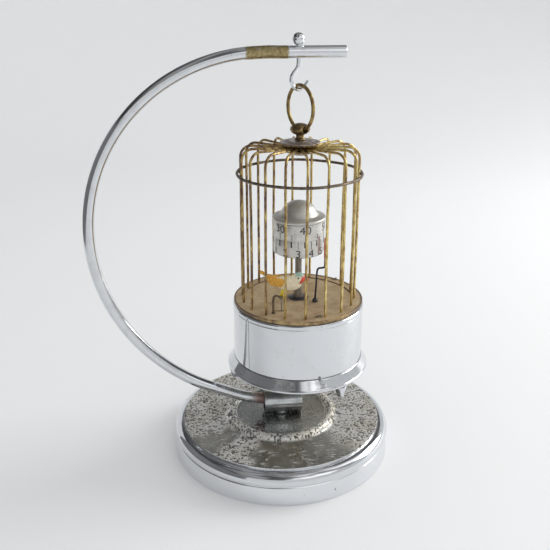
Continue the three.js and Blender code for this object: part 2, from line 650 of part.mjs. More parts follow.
// ---------------------------------------------------------------- motion works and bird rocker
const MINUTE_WHEEL_PHASE = meshed(12, 0, 36, MOTION_TURN);
add(clock, 'minute_wheel', onArbor(MOTION, joined(
  gear(36, MODULE_CANNON, 106.6, 107.6, MINUTE_WHEEL_PHASE, 1.1),
  gear(10, MODULE_HOUR, 107.5, 111, MINUTE_WHEEL_PHASE, 1.1),
)), brass);
const HOUR_WHEEL_PHASE = meshed(10, MINUTE_WHEEL_PHASE, 40, MOTION_TURN + Math.PI);
add(clock, 'hour_pipe', joined(
  bush(PIPE_R, ARBOR_R + GAP, 108.8, DRUM_LOW + 3, 12),
  gear(40, MODULE_HOUR, 109, 110.2, HOUR_WHEEL_PHASE, ARBOR_R + GAP),
), steel);

// Rocker: its fork takes the lower end of the bird's shank to and fro.
function birdRocker() {
  const boss = rod(2, 0, 1);
  const beam = new THREE.BoxGeometry(1.6, ROCKER_REACH - 2, 1).translate(0, -(ROCKER_REACH - 2) / 2, 0.5);
  const yoke = new THREE.BoxGeometry(4.4, 1.2, 1).translate(0, -(ROCKER_REACH - 2.4), 0.5);
  const prong = (side) => new THREE.BoxGeometry(1, 4, 1).translate(side * 1.7, -ROCKER_REACH + 0.4, 0.5);
  return cut(joined(boss, beam, yoke, prong(1), prong(-1)), rod(1.1, -1, 2));
}

add(nest, 'bird_rocker', birdRocker(), steel).position.set(0, ROCKER_REACH, ROCKER_Z);

export default root;
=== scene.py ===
"""Looks for the birdcage clock on its curved stand: smooth pieces and procedural materials.

Lengths are in millimetres until a mesh is made. The frame is in metres, with Z up and the base's centre at 0.
"""

import math
import random

import bmesh
import bpy
from mathutils import Matrix, Vector


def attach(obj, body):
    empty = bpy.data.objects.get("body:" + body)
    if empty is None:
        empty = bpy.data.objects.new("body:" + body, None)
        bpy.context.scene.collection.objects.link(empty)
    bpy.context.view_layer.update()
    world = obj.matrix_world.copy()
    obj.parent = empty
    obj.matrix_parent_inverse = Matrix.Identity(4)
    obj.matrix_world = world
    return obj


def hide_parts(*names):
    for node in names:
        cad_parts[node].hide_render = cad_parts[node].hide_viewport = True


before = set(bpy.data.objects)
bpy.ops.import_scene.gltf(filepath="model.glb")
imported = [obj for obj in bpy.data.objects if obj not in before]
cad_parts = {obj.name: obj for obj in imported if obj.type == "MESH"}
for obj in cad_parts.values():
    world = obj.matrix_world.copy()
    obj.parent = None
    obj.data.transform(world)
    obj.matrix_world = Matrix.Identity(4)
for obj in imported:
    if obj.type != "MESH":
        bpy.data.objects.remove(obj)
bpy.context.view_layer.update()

MM = 0.001
TAU = 2 * math.pi
CREASE = math.radians(38)  # edges that turn more than this stay sharp
draw = random.Random(11)

# --- dimensions shared with the CAD part
HANG = 12.0  # X of the vertical axis of the ring and the clock
STEM_X = 10.4  # X of the hook's stem
HOOK_TURN = math.radians(26)
RING_TURN = HOOK_TURN - math.pi / 2
PIVOT_Z = 235.6
RING_R = 14.2
ARM_TOP = 284.4
ARM_END = 41.0
SOCKET_Z = 33.9
BALL_R = 4.0
BALL_SEAT = 288.72
BALL_Z = 292.2
FLOOR_Z = 117.0
CASE_R = 46.1
CAGE_R = 39.6
WIRE_COUNT = 18
WIRE_FIRST = math.radians(-91.4)
HOOP_Z = 206.9
HOOP_R = 41.8
DRUM_R = 17.6
DRUM_SPLIT = 164.0
POINTER_FOOT = (10.6, -9.5)
POINTER_KNEE = (11.6, -9.7)
POINTER_TIP = (20.6 * math.cos(math.radians(-37)), 20.6 * math.sin(math.radians(-37)))
BIRD_SPOT = (-14.8, -22.9)
BIRD_TURN = math.radians(-7)
BIRD_PIVOT_Z = 127.8
PERCH_FOOT = (-5.6, -4)

ON_TABLE = Matrix.Identity(4)
ON_CLOCK = Matrix.Translation((HANG * MM, 0, 0))
ON_STEM = Matrix.Translation((STEM_X * MM, 0, 0))
ON_HOOK = ON_CLOCK @ Matrix.Rotation(HOOK_TURN, 4, "Z")
ON_RING = Matrix.Translation((HANG * MM, 0, (PIVOT_Z + RING_R) * MM)) @ Matrix.Rotation(RING_TURN, 4, "Z")
NEST_TURN = Matrix.Rotation(BIRD_TURN, 4, "Z")
ON_NEST = ON_CLOCK @ Matrix.Translation((BIRD_SPOT[0] * MM, BIRD_SPOT[1] * MM, 0)) @ NEST_TURN
ON_BIRD = ON_NEST @ Matrix.Translation((0, 0, BIRD_PIVOT_Z * MM))
ON_BODY = ON_BIRD @ Matrix.Translation((2.4 * MM, 0, 0))


# --- mesh building
def polar(radius, angle):
    return radius * math.cos(angle), radius * math.sin(angle)


def arc(cx, cy, radius, start, end, steps):
    """Points of an arc in degrees, both ends included."""
    angles = [math.radians(start + (end - start) * i / steps) for i in range(steps + 1)]
    return [(cx + radius * math.cos(a), cy + radius * math.sin(a)) for a in angles]


def filleted(profile, radius=0.4, steps=3):
    """A closed profile with its corners rounded. Points on the axis stay sharp."""
    result = []
    count = len(profile)
    for i, corner in enumerate(profile):
        here = Vector(corner)
        to_last = Vector(profile[i - 1]) - here
        to_next = Vector(profile[(i + 1) % count]) - here
        if here.x < 1e-6 or math.pi - to_last.angle(to_next) < math.radians(22):
            result.append(tuple(here))
            continue
        start = here + to_last.normalized() * min(radius, 0.45 * to_last.length)
        end = here + to_next.normalized() * min(radius, 0.45 * to_next.length)
        for k in range(steps + 1):
            t = k / steps
            result.append(tuple(start * (1 - t) ** 2 + here * (2 * t * (1 - t)) + end * t * t))
    return result


def skin(rings, loop=False, around=True):
    """Faces between successive rings of points; a ring of one point makes a fan."""
    verts, faces, index = [], [], []
    for ring in rings:
        index.append(range(len(verts), len(verts) + len(ring)))
        verts.extend(Vector(p) for p in ring)
    pairs = list(zip(index, index[1:])) + ([(index[-1], index[0])] if loop else [])
    for a, b in pairs:
        count = max(len(a), len(b))
        if count == 1:
            continue
        for k in range(count if around else count - 1):
            m = (k + 1) % count
            if len(a) == 1:
                faces.append((a[0], b[m], b[k]))
            elif len(b) == 1:
                faces.append((a[k], a[m], b[0]))
            else:
                faces.append((a[k], a[m], b[m], b[k]))
    return verts, faces


def lathe(profile, segments=128, radius=0.35, wobble=None):
    """Turned solid about Z from a closed profile of (radius, height)."""
    rings = []
    for r, z in filleted(profile, radius):
        if r < 1e-6:
            rings.append([(0, 0, z)])
            continue
        ring = []
        for k in range(segments):
            angle = TAU * k / segments
            dr = wobble(angle, r, z) if wobble else 0
            ring.append((*polar(r + dr, angle), z))
        rings.append(ring)
    return skin(rings, loop=True)


def path_frames(points, closed=False):
    """(point, side, up, tangent) along a path, carried without twist."""
    points = [Vector(p) for p in points]
    count = len(points)
    frames = []
    side = None
    for i, point in enumerate(points):
        before = points[i - 1] if i or closed else point
        after = points[(i + 1) % count] if i + 1 < count or closed else point
        tangent = (after - before).normalized()
        if side is None:
            side = tangent.orthogonal()
        side = (side - tangent * side.dot(tangent)).normalized()
        frames.append((point, side, tangent.cross(side), tangent))
    return frames


def ring_of(place, radius, sides, along=0.0):
    """Circle of points round one place of a path, moved along it."""
    point, side, up, tangent = place
    centre = point + tangent * along
    ring = []
    for k in range(sides):
        x, y = polar(radius, TAU * k / sides)
        ring.append(centre + side * x + up * y)
    return ring


def sweep(points, radius, sides=16, closed=False, square=1.0, depth=1.0):
    """Round bar along points. radius may be a list; square under 1 makes its ends flatter."""
    places = path_frames(points, closed)
    radii = radius if isinstance(radius, (list, tuple)) else [radius] * len(places)
    rings = [ring_of(place, r, sides) for place, r in zip(places, radii)]
    if closed:
        return skin(rings, loop=True)

    def end(place, r, sign):
        rings_out = [[place[0] + place[3] * sign * r * depth]]
        for k in range(1, 5):
            a = math.pi / 2 * k / 5
            out = r * math.sin(a) ** square
            rings_out.append(ring_of(place, out, sides, sign * r * depth * math.cos(a) ** square))
        return rings_out

    return skin(end(places[0], radii[0], -1) + rings + end(places[-1], radii[-1], 1)[::-1])


def hollow_tube(points, outer, inner, sides=48, edge=0.25):
    """Open tube: outside, inside and rounded ends in one closed skin."""
    places = path_frames(points)
    first, last = places[0], places[-1]
    rings = [ring_of(first, outer - edge, sides)]
    rings += [ring_of(first, outer, sides, edge)]
    rings += [ring_of(place, outer, sides) for place in places[1:-1]]
    rings += [ring_of(last, outer, sides, -edge), ring_of(last, outer - edge, sides)]
    rings += [ring_of(last, inner + edge, sides), ring_of(last, inner, sides, -edge)]
    rings += [ring_of(place, inner, sides) for place in places[-2:0:-1]]
    rings += [ring_of(first, inner, sides, edge), ring_of(first, inner + edge, sides)]
    return skin(rings, loop=True)


def smooth_path(points, steps=8):
    """Centripetal Catmull-Rom curve through points."""
    points = [Vector(p) for p in points]
    ends = [points[0] * 2 - points[1], *points, points[-1] * 2 - points[-2]]
    result = []
    for a, b, c, d in zip(ends, ends[1:], ends[2:], ends[3:]):
        t1 = (b - a).length ** 0.5
        t2 = t1 + (c - b).length ** 0.5
        t3 = t2 + (d - c).length ** 0.5
        for i in range(steps):
            t = t1 + (t2 - t1) * i / steps
            ab = a.lerp(b, t / t1)
            bc = b.lerp(c, (t - t1) / (t2 - t1))
            cd = c.lerp(d, (t - t2) / (t3 - t2))
            abc = ab.lerp(bc, t / t2)
            bcd = bc.lerp(cd, (t - t1) / (t3 - t1))
            result.append(abc.lerp(bcd, (t - t1) / (t2 - t1)))
    result.append(points[-1])
    return result


def ellipsoid(centre, half, tip=0.0, yaw=0.0, around=32, rows=20):
    """Egg shape with its long axis on X, nose down by tip and turned by yaw."""
    rings = []
    for i in range(rows + 1):
        a = math.pi * i / rows
        x, r = -math.cos(a), math.sin(a)
        if i in (0, rows):
            rings.append([(x, 0, 0)])
        else:
            rings.append([(x, *polar(r, TAU * k / around)) for k in range(around)])
    part = skin(rings)
    spin = Matrix.Rotation(yaw, 4, "Z") @ Matrix.Rotation(tip, 4, "Y")
    return placed(part, Matrix.Translation(centre) @ spin @ Matrix.Diagonal((*half, 1)))


def placed(part, matrix):
    verts, faces = part
    return [matrix @ v for v in verts], faces


def box_part(size, centre=(0, 0, 0)):
    square = ((-0.5, -0.5), (0.5, -0.5), (0.5, 0.5), (-0.5, 0.5))
    corners = [(x, y, z) for z in (-0.5, 0.5) for x, y in square]
    verts = [Vector(c * s for c, s in zip(corner, size)) + Vector(centre) for corner in corners]
    faces = [(0, 3, 2, 1), (4, 5, 6, 7), (0, 1, 5, 4), (1, 2, 6, 5), (2, 3, 7, 6), (3, 0, 4, 7)]
    return verts, faces


def wrapped_bar(angle, width, low, high, radius, thickness=0.07):
    """Thin printed bar on a drum: angle of its middle, width along the surface."""
    half = width / radius / 2
    rings = []
    for k in range(5):
        a = angle - half + 2 * half * k / 4
        corners = ((radius, low), (radius + thickness, low), (radius + thickness, high), (radius, high))
        rings.append([(*polar(r, a), z) for r, z in corners])
    verts, faces = skin(rings)
    last = len(verts)
    return verts, faces + [(3, 2, 1, 0), (last - 4, last - 3, last - 2, last - 1)]


def joined(parts):
    verts, faces = [], []
    for part_verts, part_faces in parts:
        start = len(verts)
        verts.extend(part_verts)
        faces.extend(tuple(i + start for i in face) for face in part_faces)
    return verts, faces


def mesh_from(name, part):
    verts, faces = part
    mesh = bpy.data.meshes.new(name)
    mesh.from_pydata([v * MM for v in verts], [], faces)
    shape = bmesh.new()
    shape.from_mesh(mesh)
    bmesh.ops.recalc_face_normals(shape, faces=shape.faces)
    shape.to_mesh(mesh)
    shape.free()
    return mesh


def smoothed(mesh):
    mesh.shade_smooth()
    mesh.set_sharp_from_angle(angle=CREASE)


def shown(name, data):
    """A new object in the scene."""
    obj = bpy.data.objects.new(name, data)
    bpy.context.scene.collection.objects.link(obj)
    return obj


def piece(name, parts, body, material, replaces=(), at=ON_CLOCK):
    """One shown piece: its parts in mm, its place, its body, its finish and the CAD nodes it stands for."""
    mesh = mesh_from(name, joined(parts) if isinstance(parts, list) else parts)
    mesh.materials.append(material)
    smoothed(mesh)
    obj = shown(name, mesh)
    obj.matrix_world = at
    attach(obj, body)
    if replaces:
        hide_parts(*replaces)
    return obj


def settle(obj):
    """Applies the piece's modifiers to its mesh."""
    graph = bpy.context.evaluated_depsgraph_get()
    mesh = bpy.data.meshes.new_from_object(obj.evaluated_get(graph))
    obj.modifiers.clear()
    obj.data = mesh
    smoothed(mesh)


def carve(obj, parts):
    """Cuts closed parts, in the piece's own frame, out of it."""
    cutter = shown("cutter", mesh_from("cutter", joined(parts)))
    cutter.matrix_world = obj.matrix_world
    modifier = obj.modifiers.new("cut", "BOOLEAN")
    modifier.object = cutter
    modifier.solver = "EXACT"
    settle(obj)
    bpy.data.objects.remove(cutter)


def remeshed(obj, voxel, smooth_rounds):
    """Fuses overlapping parts into one smooth skin."""
    modifier = obj.modifiers.new("fuse", "REMESH")
    modifier.mode = "VOXEL"
    modifier.voxel_size = voxel * MM
    smoothing = obj.modifiers.new("smooth", "SMOOTH")
    smoothing.factor = 0.5
    smoothing.iterations = smooth_rounds
    settle(obj)


# --- materials
class Nodes:
    """Adds linked nodes to one node tree."""

    def __init__(self, tree):
        self.tree = tree

    def node(self, kind, inputs=None, **settings):
        made = self.tree.nodes.new(kind)
        for key, value in settings.items():
            setattr(made, key, value)
        for key, value in (inputs or {}).items():
            if isinstance(value, bpy.types.NodeSocket):
                self.tree.links.new(value, made.inputs[key])
            else:
                made.inputs[key].default_value = value
        return made

    def step(self, value, start, end, low=0.0, high=1.0):
        inputs = {"Value": value, "From Min": start, "From Max": end, "To Min": low, "To Max": high}
        return self.node("ShaderNodeMapRange", inputs, interpolation_type="SMOOTHSTEP").outputs[0]

    def calc(self, operation, a, b=0.5):
        return self.node("ShaderNodeMath", {0: a, 1: b}, operation=operation).outputs[0]

    def plus(self, a, b):
        return self.calc("ADD", a, b)

    def less(self, a, b):
        return self.calc("SUBTRACT", a, b)

    def rest(self, a):
        return self.calc("SUBTRACT", 1.0, a)

    def most(self, *values):
        return self.each("MAXIMUM", values)

    def times(self, *values):
        return self.each("MULTIPLY", values)

    def each(self, operation, values):
        result = values[0]
        for value in values[1:]:
            result = self.calc(operation, result, value)
        return result

    def vector_calc(self, operation, a, b):
        return self.node("ShaderNodeVectorMath", {0: a, 1: b}, operation=operation)


class Finish(Nodes):
    """A Principled material with colour, roughness and bump from nodes in the piece's own coordinates."""

    def __init__(self, name, **sockets):
        self.material = bpy.data.materials.new(name)
        self.material.use_nodes = True
        super().__init__(self.material.node_tree)
        self.shader = self.tree.nodes["Principled BSDF"]
        for key, value in sockets.items():
            self.shader.inputs[key.replace("_", " ")].default_value = value
        self.place = self.node("ShaderNodeTexCoord").outputs["Object"]
        split = self.node("ShaderNodeSeparateXYZ", {0: self.place})
        self.x, self.y, self.z = (split.outputs[i] for i in range(3))

    def mapped(self, stretch=(1, 1, 1), shift=0.0):
        inputs = {"Vector": self.place, "Scale": stretch, "Location": (shift, shift * 0.7, shift * 1.3)}
        return self.node("ShaderNodeMapping", inputs).outputs[0]

    def noise(self, size, detail=4.0, roughness=0.55, stretch=(1, 1, 1), shift=0.0, distortion=0.0):
        """Noise from 0 to 1 whose features are about size mm."""
        inputs = {
            "Vector": self.mapped(stretch, shift),
            "Scale": 1 / (size * MM),
            "Detail": detail,
            "Roughness": roughness,
            "Distortion": distortion,
        }
        return self.node("ShaderNodeTexNoise", inputs).outputs[0]

    def cells(self, size, shift=0.0, wobble=0.5, flat=False):
        """(distance, random grey) of wavy cells about size mm across; flat ones run through Z."""
        inputs = {"Vector": self.place, "Scale": 1.3 / (size * MM), "Detail": 2.0}
        coarse = self.node("ShaderNodeTexNoise", inputs)
        inputs = {0: coarse.outputs[1], "Scale": wobble * size * MM}
        offset = self.node("ShaderNodeVectorMath", inputs, operation="SCALE").outputs[0]
        moved = self.vector_calc("ADD", self.mapped(shift=shift), offset).outputs[0]
        inputs = {"Vector": moved, "Scale": 1 / (size * MM)}
        cell = self.node("ShaderNodeTexVoronoi", inputs, voronoi_dimensions="2D" if flat else "3D")
        grey = self.node("ShaderNodeSeparateXYZ", {0: cell.outputs["Color"]})
        return cell.outputs["Distance"], grey.outputs[0]

    def spots(self, distance, reach, outside=0.02, inside=-0.03):
        """1 where a cell's distance is under reach, with a soft edge."""
        return self.step(self.less(distance, reach), outside, inside)

    def mix(self, factor, a, b):
        a = (*a, 1) if isinstance(a, tuple) else a
        b = (*b, 1) if isinstance(b, tuple) else b
        return self.node("ShaderNodeMix", {0: factor, 6: a, 7: b}, data_type="RGBA").outputs[2]

    def ramp(self, factor, *stops):
        made = self.node("ShaderNodeValToRGB", {0: factor})
        elements = made.color_ramp.elements
        while len(elements) < len(stops):
            elements.new(0.5)
        for element, (position, color) in zip(elements, stops):
            element.position = position
            element.color = (*color, 1)
        return made.outputs[0]

    def distance(self, centre=(0, 0)):
        """Distance from a vertical line, in metres."""
        flat = self.node("ShaderNodeCombineXYZ", {0: self.x, 1: self.y}).outputs[0]
        line = (centre[0] * MM, centre[1] * MM, 0)
        return self.vector_calc("DISTANCE", flat, line).outputs["Value"]

    def finish(self, color=None, roughness=None, metallic=None, bump=None, depth=0.1, strength=1.0):
        for key, socket in (("Base Color", color), ("Roughness", roughness), ("Metallic", metallic)):
            if socket is not None:
                self.tree.links.new(socket, self.shader.inputs[key])
        if bump is not None:
            inputs = {"Height": bump, "Distance": depth * MM, "Strength": strength}
            made = self.node("ShaderNodeBump", inputs)
            self.tree.links.new(made.outputs[0], self.shader.inputs["Normal"])
        return self.material


CHROME = (0.72, 0.74, 0.765)
CHROME_DULL = (0.56, 0.575, 0.59)
# darkest colour: corrosion specks, and painted shade inside the socket's mouth
SPECK_AND_SHADE_BLACK = (0.02, 0.018, 0.016)
# colour stops: (place in a noise, colour), from dark to light
GOLD_STOPS = (
    (0.36, (0.1, 0.06, 0.055)), (0.44, (0.27, 0.17, 0.09)),
    (0.52, (0.5, 0.36, 0.13)), (0.62, (0.76, 0.62, 0.27)),
)
OLIVE_STOPS = (
    (0.36, (0.07, 0.045, 0.03)), (0.48, (0.2, 0.14, 0.07)),
    (0.58, (0.36, 0.26, 0.11)), (0.7, (0.66, 0.5, 0.22)),
)
RING_STOPS = (
    (0.36, (0.12, 0.055, 0.035)), (0.47, (0.24, 0.17, 0.075)),
    (0.57, (0.42, 0.31, 0.12)), (0.68, (0.68, 0.5, 0.18)),
)
DISC_STOPS = (
    (0.36, (0.13, 0.1, 0.09)), (0.48, (0.3, 0.25, 0.22)),
    (0.58, (0.44, 0.39, 0.35)), (0.72, (0.56, 0.5, 0.44)),
)
BROWN_STOPS = (
    (0.36, (0.06, 0.045, 0.04)), (0.5, (0.17, 0.13, 0.1)),
    (0.62, (0.3, 0.24, 0.17)), (0.74, (0.5, 0.38, 0.18)),
)
MOVEMENT_STOPS = ((0.3, (0.45, 0.32, 0.11)), (0.5, (0.62, 0.46, 0.18)), (0.7, (0.74, 0.58, 0.27)))
STEEL_STOPS = ((0.3, (0.3, 0.31, 0.32)), (0.7, (0.5, 0.51, 0.52)))
SHAFT_STOPS = ((0.3, (0.16, 0.145, 0.12)), (0.55, (0.3, 0.275, 0.235)), (0.75, (0.46, 0.43, 0.38)))
KHAKI_STOPS = (
    (0.3, (0.06, 0.045, 0.025)), (0.45, (0.3, 0.235, 0.11)),
    (0.6, (0.46, 0.38, 0.2)), (0.75, (0.62, 0.58, 0.45)),
)
TAN_STOPS = ((0.3, (0.3, 0.2, 0.11)), (0.5, (0.46, 0.345, 0.2)), (0.7, (0.56, 0.45, 0.28)))
BEAD_HIGHLIGHT_STOPS = ((0.35, (0.14, 0.09, 0.05)), (0.5, (0.34, 0.235, 0.11)), (0.65, (0.5, 0.37, 0.18)))


def chrome(name, specks=0.1, dull=0.3, rough=(0.05, 0.16), shift=0.0):
    """Plated metal: faint waviness, cloudy patches and a few corrosion specks."""
    f = Finish(name)
    cloud = f.noise(14, 5, shift=shift)
    dist, grey = f.cells(3.2, shift=shift)
    speck = f.spots(dist, f.times(grey, specks))
    color = f.mix(f.times(f.step(cloud, 0.45, 0.75), dull), CHROME, CHROME_DULL)
    color = f.mix(speck, color, SPECK_AND_SHADE_BLACK)
    roughness = f.mix(speck, f.mix(cloud, (rough[0],) * 3, (rough[1],) * 3), (0.7,) * 3)
    metallic = f.step(speck, 0.0, 1.0, 1.0, 0.2)
    bump = f.less(f.times(f.noise(5, 2, shift=shift), 0.2), speck)
    return f.finish(color, roughness, metallic, bump, 0.05, 0.35)


def base_chrome():
    """Plate of the base: mirror bead and skirt, heavily pitted top and stained dish, with painted light on
    the +X side: a pale yellowish tone on the ridge and beige in the dish.
    """
    f = Finish("base_chrome")
    radius = f.distance()
    inside = f.step(radius, 0.0726, 0.0721)
    dish = f.step(radius, 0.0346, 0.0336)
    ridge = f.times(f.step(radius, 0.0416, 0.0408), f.rest(dish))
    skirt = f.step(f.z, 0.0142, 0.0134)
    turn = f.plus(f.calc("ARCTAN2", f.y, f.x), f.times(f.noise(14, 4, shift=0.5), 0.5))
    wedge = f.times(f.step(turn, -2.52, -2.44), f.step(turn, -2.1, -2.18))
    broad = f.times(f.step(turn, -1.84, -1.7), f.step(turn, -0.5, -0.75))
    front = f.times(f.most(wedge, broad), inside, f.step(radius, 0.0405, 0.043))
    # the +X side, toward the key light
    lit_right = f.step(f.x, -0.004, 0.022)

    large = f.noise(9, 3, shift=0.3)
    density = f.times(f.step(large, 0.3, 0.7, 0.25, 0.46), f.step(front, 0.0, 1.0, 1.0, 0.28))
    coarse, grey = f.cells(2.0, shift=0.1, wobble=0.9, flat=True)
    fine, fine_grey = f.cells(1.2, shift=0.4, wobble=0.8, flat=True)
    pit = f.spots(coarse, f.times(density, f.step(grey, 0.1, 0.9, 0.35, 1.3)), 0.03, -0.04)
    dot = f.spots(fine, f.times(density, f.step(fine_grey, 0.3, 1.0, 0.0, 1.15)), 0.03, -0.04)
    pits = f.most(pit, dot)
    rare, rare_grey = f.cells(7.5, shift=0.9)
    rare_speck = f.spots(rare, f.times(rare_grey, 0.075), 0.006, -0.012)
    pits = f.mix(inside, rare_speck, pits)
    pits = f.times(pits, f.step(dish, 0.0, 1.0, 1.0, 0.25))

    tone = f.noise(20, 5, shift=0.6)
    top = f.mix(f.step(tone, 0.35, 0.65), (0.74, 0.735, 0.71), (0.55, 0.53, 0.47))
    scratched = f.noise(3.2, 6, 0.7, stretch=(0.6, 1.6, 1), shift=0.2)
    scratched = f.times(f.step(scratched, 0.5, 0.62), f.step(large, 0.35, 0.6))
    top = f.mix(f.times(front, 0.85), top, (0.36, 0.345, 0.3))
    top = f.mix(f.times(scratched, 0.6), top, (0.8, 0.8, 0.79))
    plate = f.mix(f.times(skirt, 0.9), CHROME, (0.8, 0.815, 0.84))
    color = f.mix(inside, plate, top)
    # painted light: pale yellowish, less metallic tone on the +X half of the ridge, where the key light falls
    # on its crest
    ridge_light = f.times(ridge, lit_right, f.step(f.noise(3, 4, shift=0.8), 0.3, 0.5))
    color = f.mix(f.times(ridge_light, 0.9), color, (0.84, 0.8, 0.7))
    color = f.mix(f.times(dish, f.step(f.noise(10, 4), 0.3, 0.6, 0.45, 0.8)), color, (0.3, 0.315, 0.325))
    # painted reflection: beige on the +X side of the dish
    color = f.mix(f.times(dish, lit_right, 0.6), color, (0.52, 0.48, 0.38))
    color = f.mix(f.times(pits, 0.95), color, f.mix(fine_grey, (0.035, 0.032, 0.03), (0.1, 0.088, 0.072)))
    dull = f.times(inside, f.rest(front), f.rest(dish), 0.6)

    flat_rough = f.step(tone, 0.3, 0.7, 0.2, 0.36)
    roughness = f.mix(inside, f.step(f.noise(6, 3), 0.3, 0.7, 0.06, 0.13), flat_rough)
    roughness = f.mix(f.times(skirt, 0.7), roughness, (0.24,) * 3)
    roughness = f.mix(dish, roughness, (0.13,) * 3)
    roughness = f.mix(ridge_light, roughness, (0.5,) * 3)
    roughness = f.mix(pits, roughness, (0.75,) * 3)
    spoiled = f.most(f.times(pits, 0.85), f.times(ridge_light, 0.6), dull, f.times(scratched, front, 0.5))
    metallic = f.rest(spoiled)
    height = f.less(f.times(f.noise(7, 4), 0.6), pits)
    return f.finish(color, roughness, metallic, height, 0.12, 0.6)


def tube_chrome():
    """Plated tube: cloudy plate, a worn brass patch at the top and rust where it enters the socket."""
    f = Finish("tube_chrome")
    dist, grey = f.cells(3.4, shift=0.5)
    speck = f.spots(dist, f.times(grey, 0.1))
    cloud = f.noise(12, 5, shift=0.2)
    ragged = f.times(f.noise(2.2, 5, 0.7), 0.006)
    along = f.plus(f.x, ragged)
    worn = f.times(f.step(along, -0.021, -0.0195), f.step(along, 0.0075, 0.006), f.step(f.z, 0.2, 0.21))
    worn = f.times(worn, f.step(f.noise(2.6, 5, 0.7, shift=0.7), 0.3, 0.42))
    khaki = f.ramp(f.noise(1.6, 6, 0.75, shift=0.4), *KHAKI_STOPS)
    rusty = f.times(f.step(f.plus(f.x, ragged), -0.023, -0.013), f.step(f.z, 0.06, 0.05), 0.85)
    color = f.mix(f.times(f.step(cloud, 0.45, 0.7), 0.4), CHROME, CHROME_DULL)
    color = f.mix(speck, color, SPECK_AND_SHADE_BLACK)
    color = f.mix(worn, color, khaki)
    color = f.mix(rusty, color, f.mix(cloud, (0.12, 0.05, 0.03), (0.25, 0.1, 0.05)))
    spoiled = f.most(worn, rusty, speck)
    roughness = f.mix(spoiled, f.step(cloud, 0.3, 0.7, 0.08, 0.2), (0.42,) * 3)
    metallic = f.step(f.most(rusty, speck), 0.0, 1.0, 1.0, 0.35)
    height = f.less(f.times(f.noise(4, 3), 0.3), f.times(spoiled, f.noise(1.2, 4)))
    return f.finish(color, roughness, metallic, height, 0.06, 0.4)


def holder_chrome():
    """Socket of the arm: dull plate outside; painted shade, very dark inside its mouth and dark grey under
    it.
    """
    f = Finish("holder_chrome")
    off_axis = f.node("ShaderNodeCombineXYZ", {0: 0.0, 1: f.y, 2: f.z}).outputs[0]
    radius = f.vector_calc("DISTANCE", off_axis, (0, 0, SOCKET_Z * MM)).outputs["Value"]
    # painted shade: very dark inside the mouth, where the tube enters the socket, and dark grey under the
    # socket, where its stem stands in shadow
    mouth = f.times(f.step(radius, 0.0079, 0.0075), f.step(f.x, 0.004, 0.003))
    painted_shade = f.most(mouth, f.step(f.z, 0.0258, 0.0253))
    cloud = f.noise(9, 5, shift=0.6)
    color = f.mix(f.step(cloud, 0.4, 0.65), (0.6, 0.615, 0.62), (0.42, 0.44, 0.44))
    color = f.mix(painted_shade, color, f.mix(mouth, (0.16, 0.17, 0.175), SPECK_AND_SHADE_BLACK))
    roughness = f.mix(painted_shade, f.step(cloud, 0.3, 0.7, 0.14, 0.24), (0.8,) * 3)
    metallic = f.step(painted_shade, 0.0, 1.0, 1.0, 0.0)
    return f.finish(color, roughness, metallic, f.noise(5, 3), 0.05, 0.3)


def brass(name, stops, size=3.0, stretch=(1, 1, 1), rough=(0.28, 0.6), metallic=0.9, shift=0.0, lean=0.0):
    """Aged metal: colour stops from dark to clean over a noise of that size; lean paints light on its +X side
    and shade on its -X side.
    """
    f = Finish(name, Metallic=metallic)
    patches = f.noise(size, 6, 0.68, stretch, shift, 0.3)
    grain = f.noise(size / 4, 4, 0.6, stretch, shift + 0.2)
    tone = f.plus(f.times(patches, 0.75), f.times(grain, 0.25))
    # painted light: lean lifts the tone on the +X side, where the key light falls, and lowers it on the -X
    # side
    if lean:
        tone = f.plus(tone, f.step(f.x, -0.036, 0.02, -lean, lean))
    color = f.ramp(tone, *stops)
    roughness = f.step(tone, 0.38, 0.62, rough[1], rough[0])
    return f.finish(color, roughness, None, grain, 0.06, 0.5)


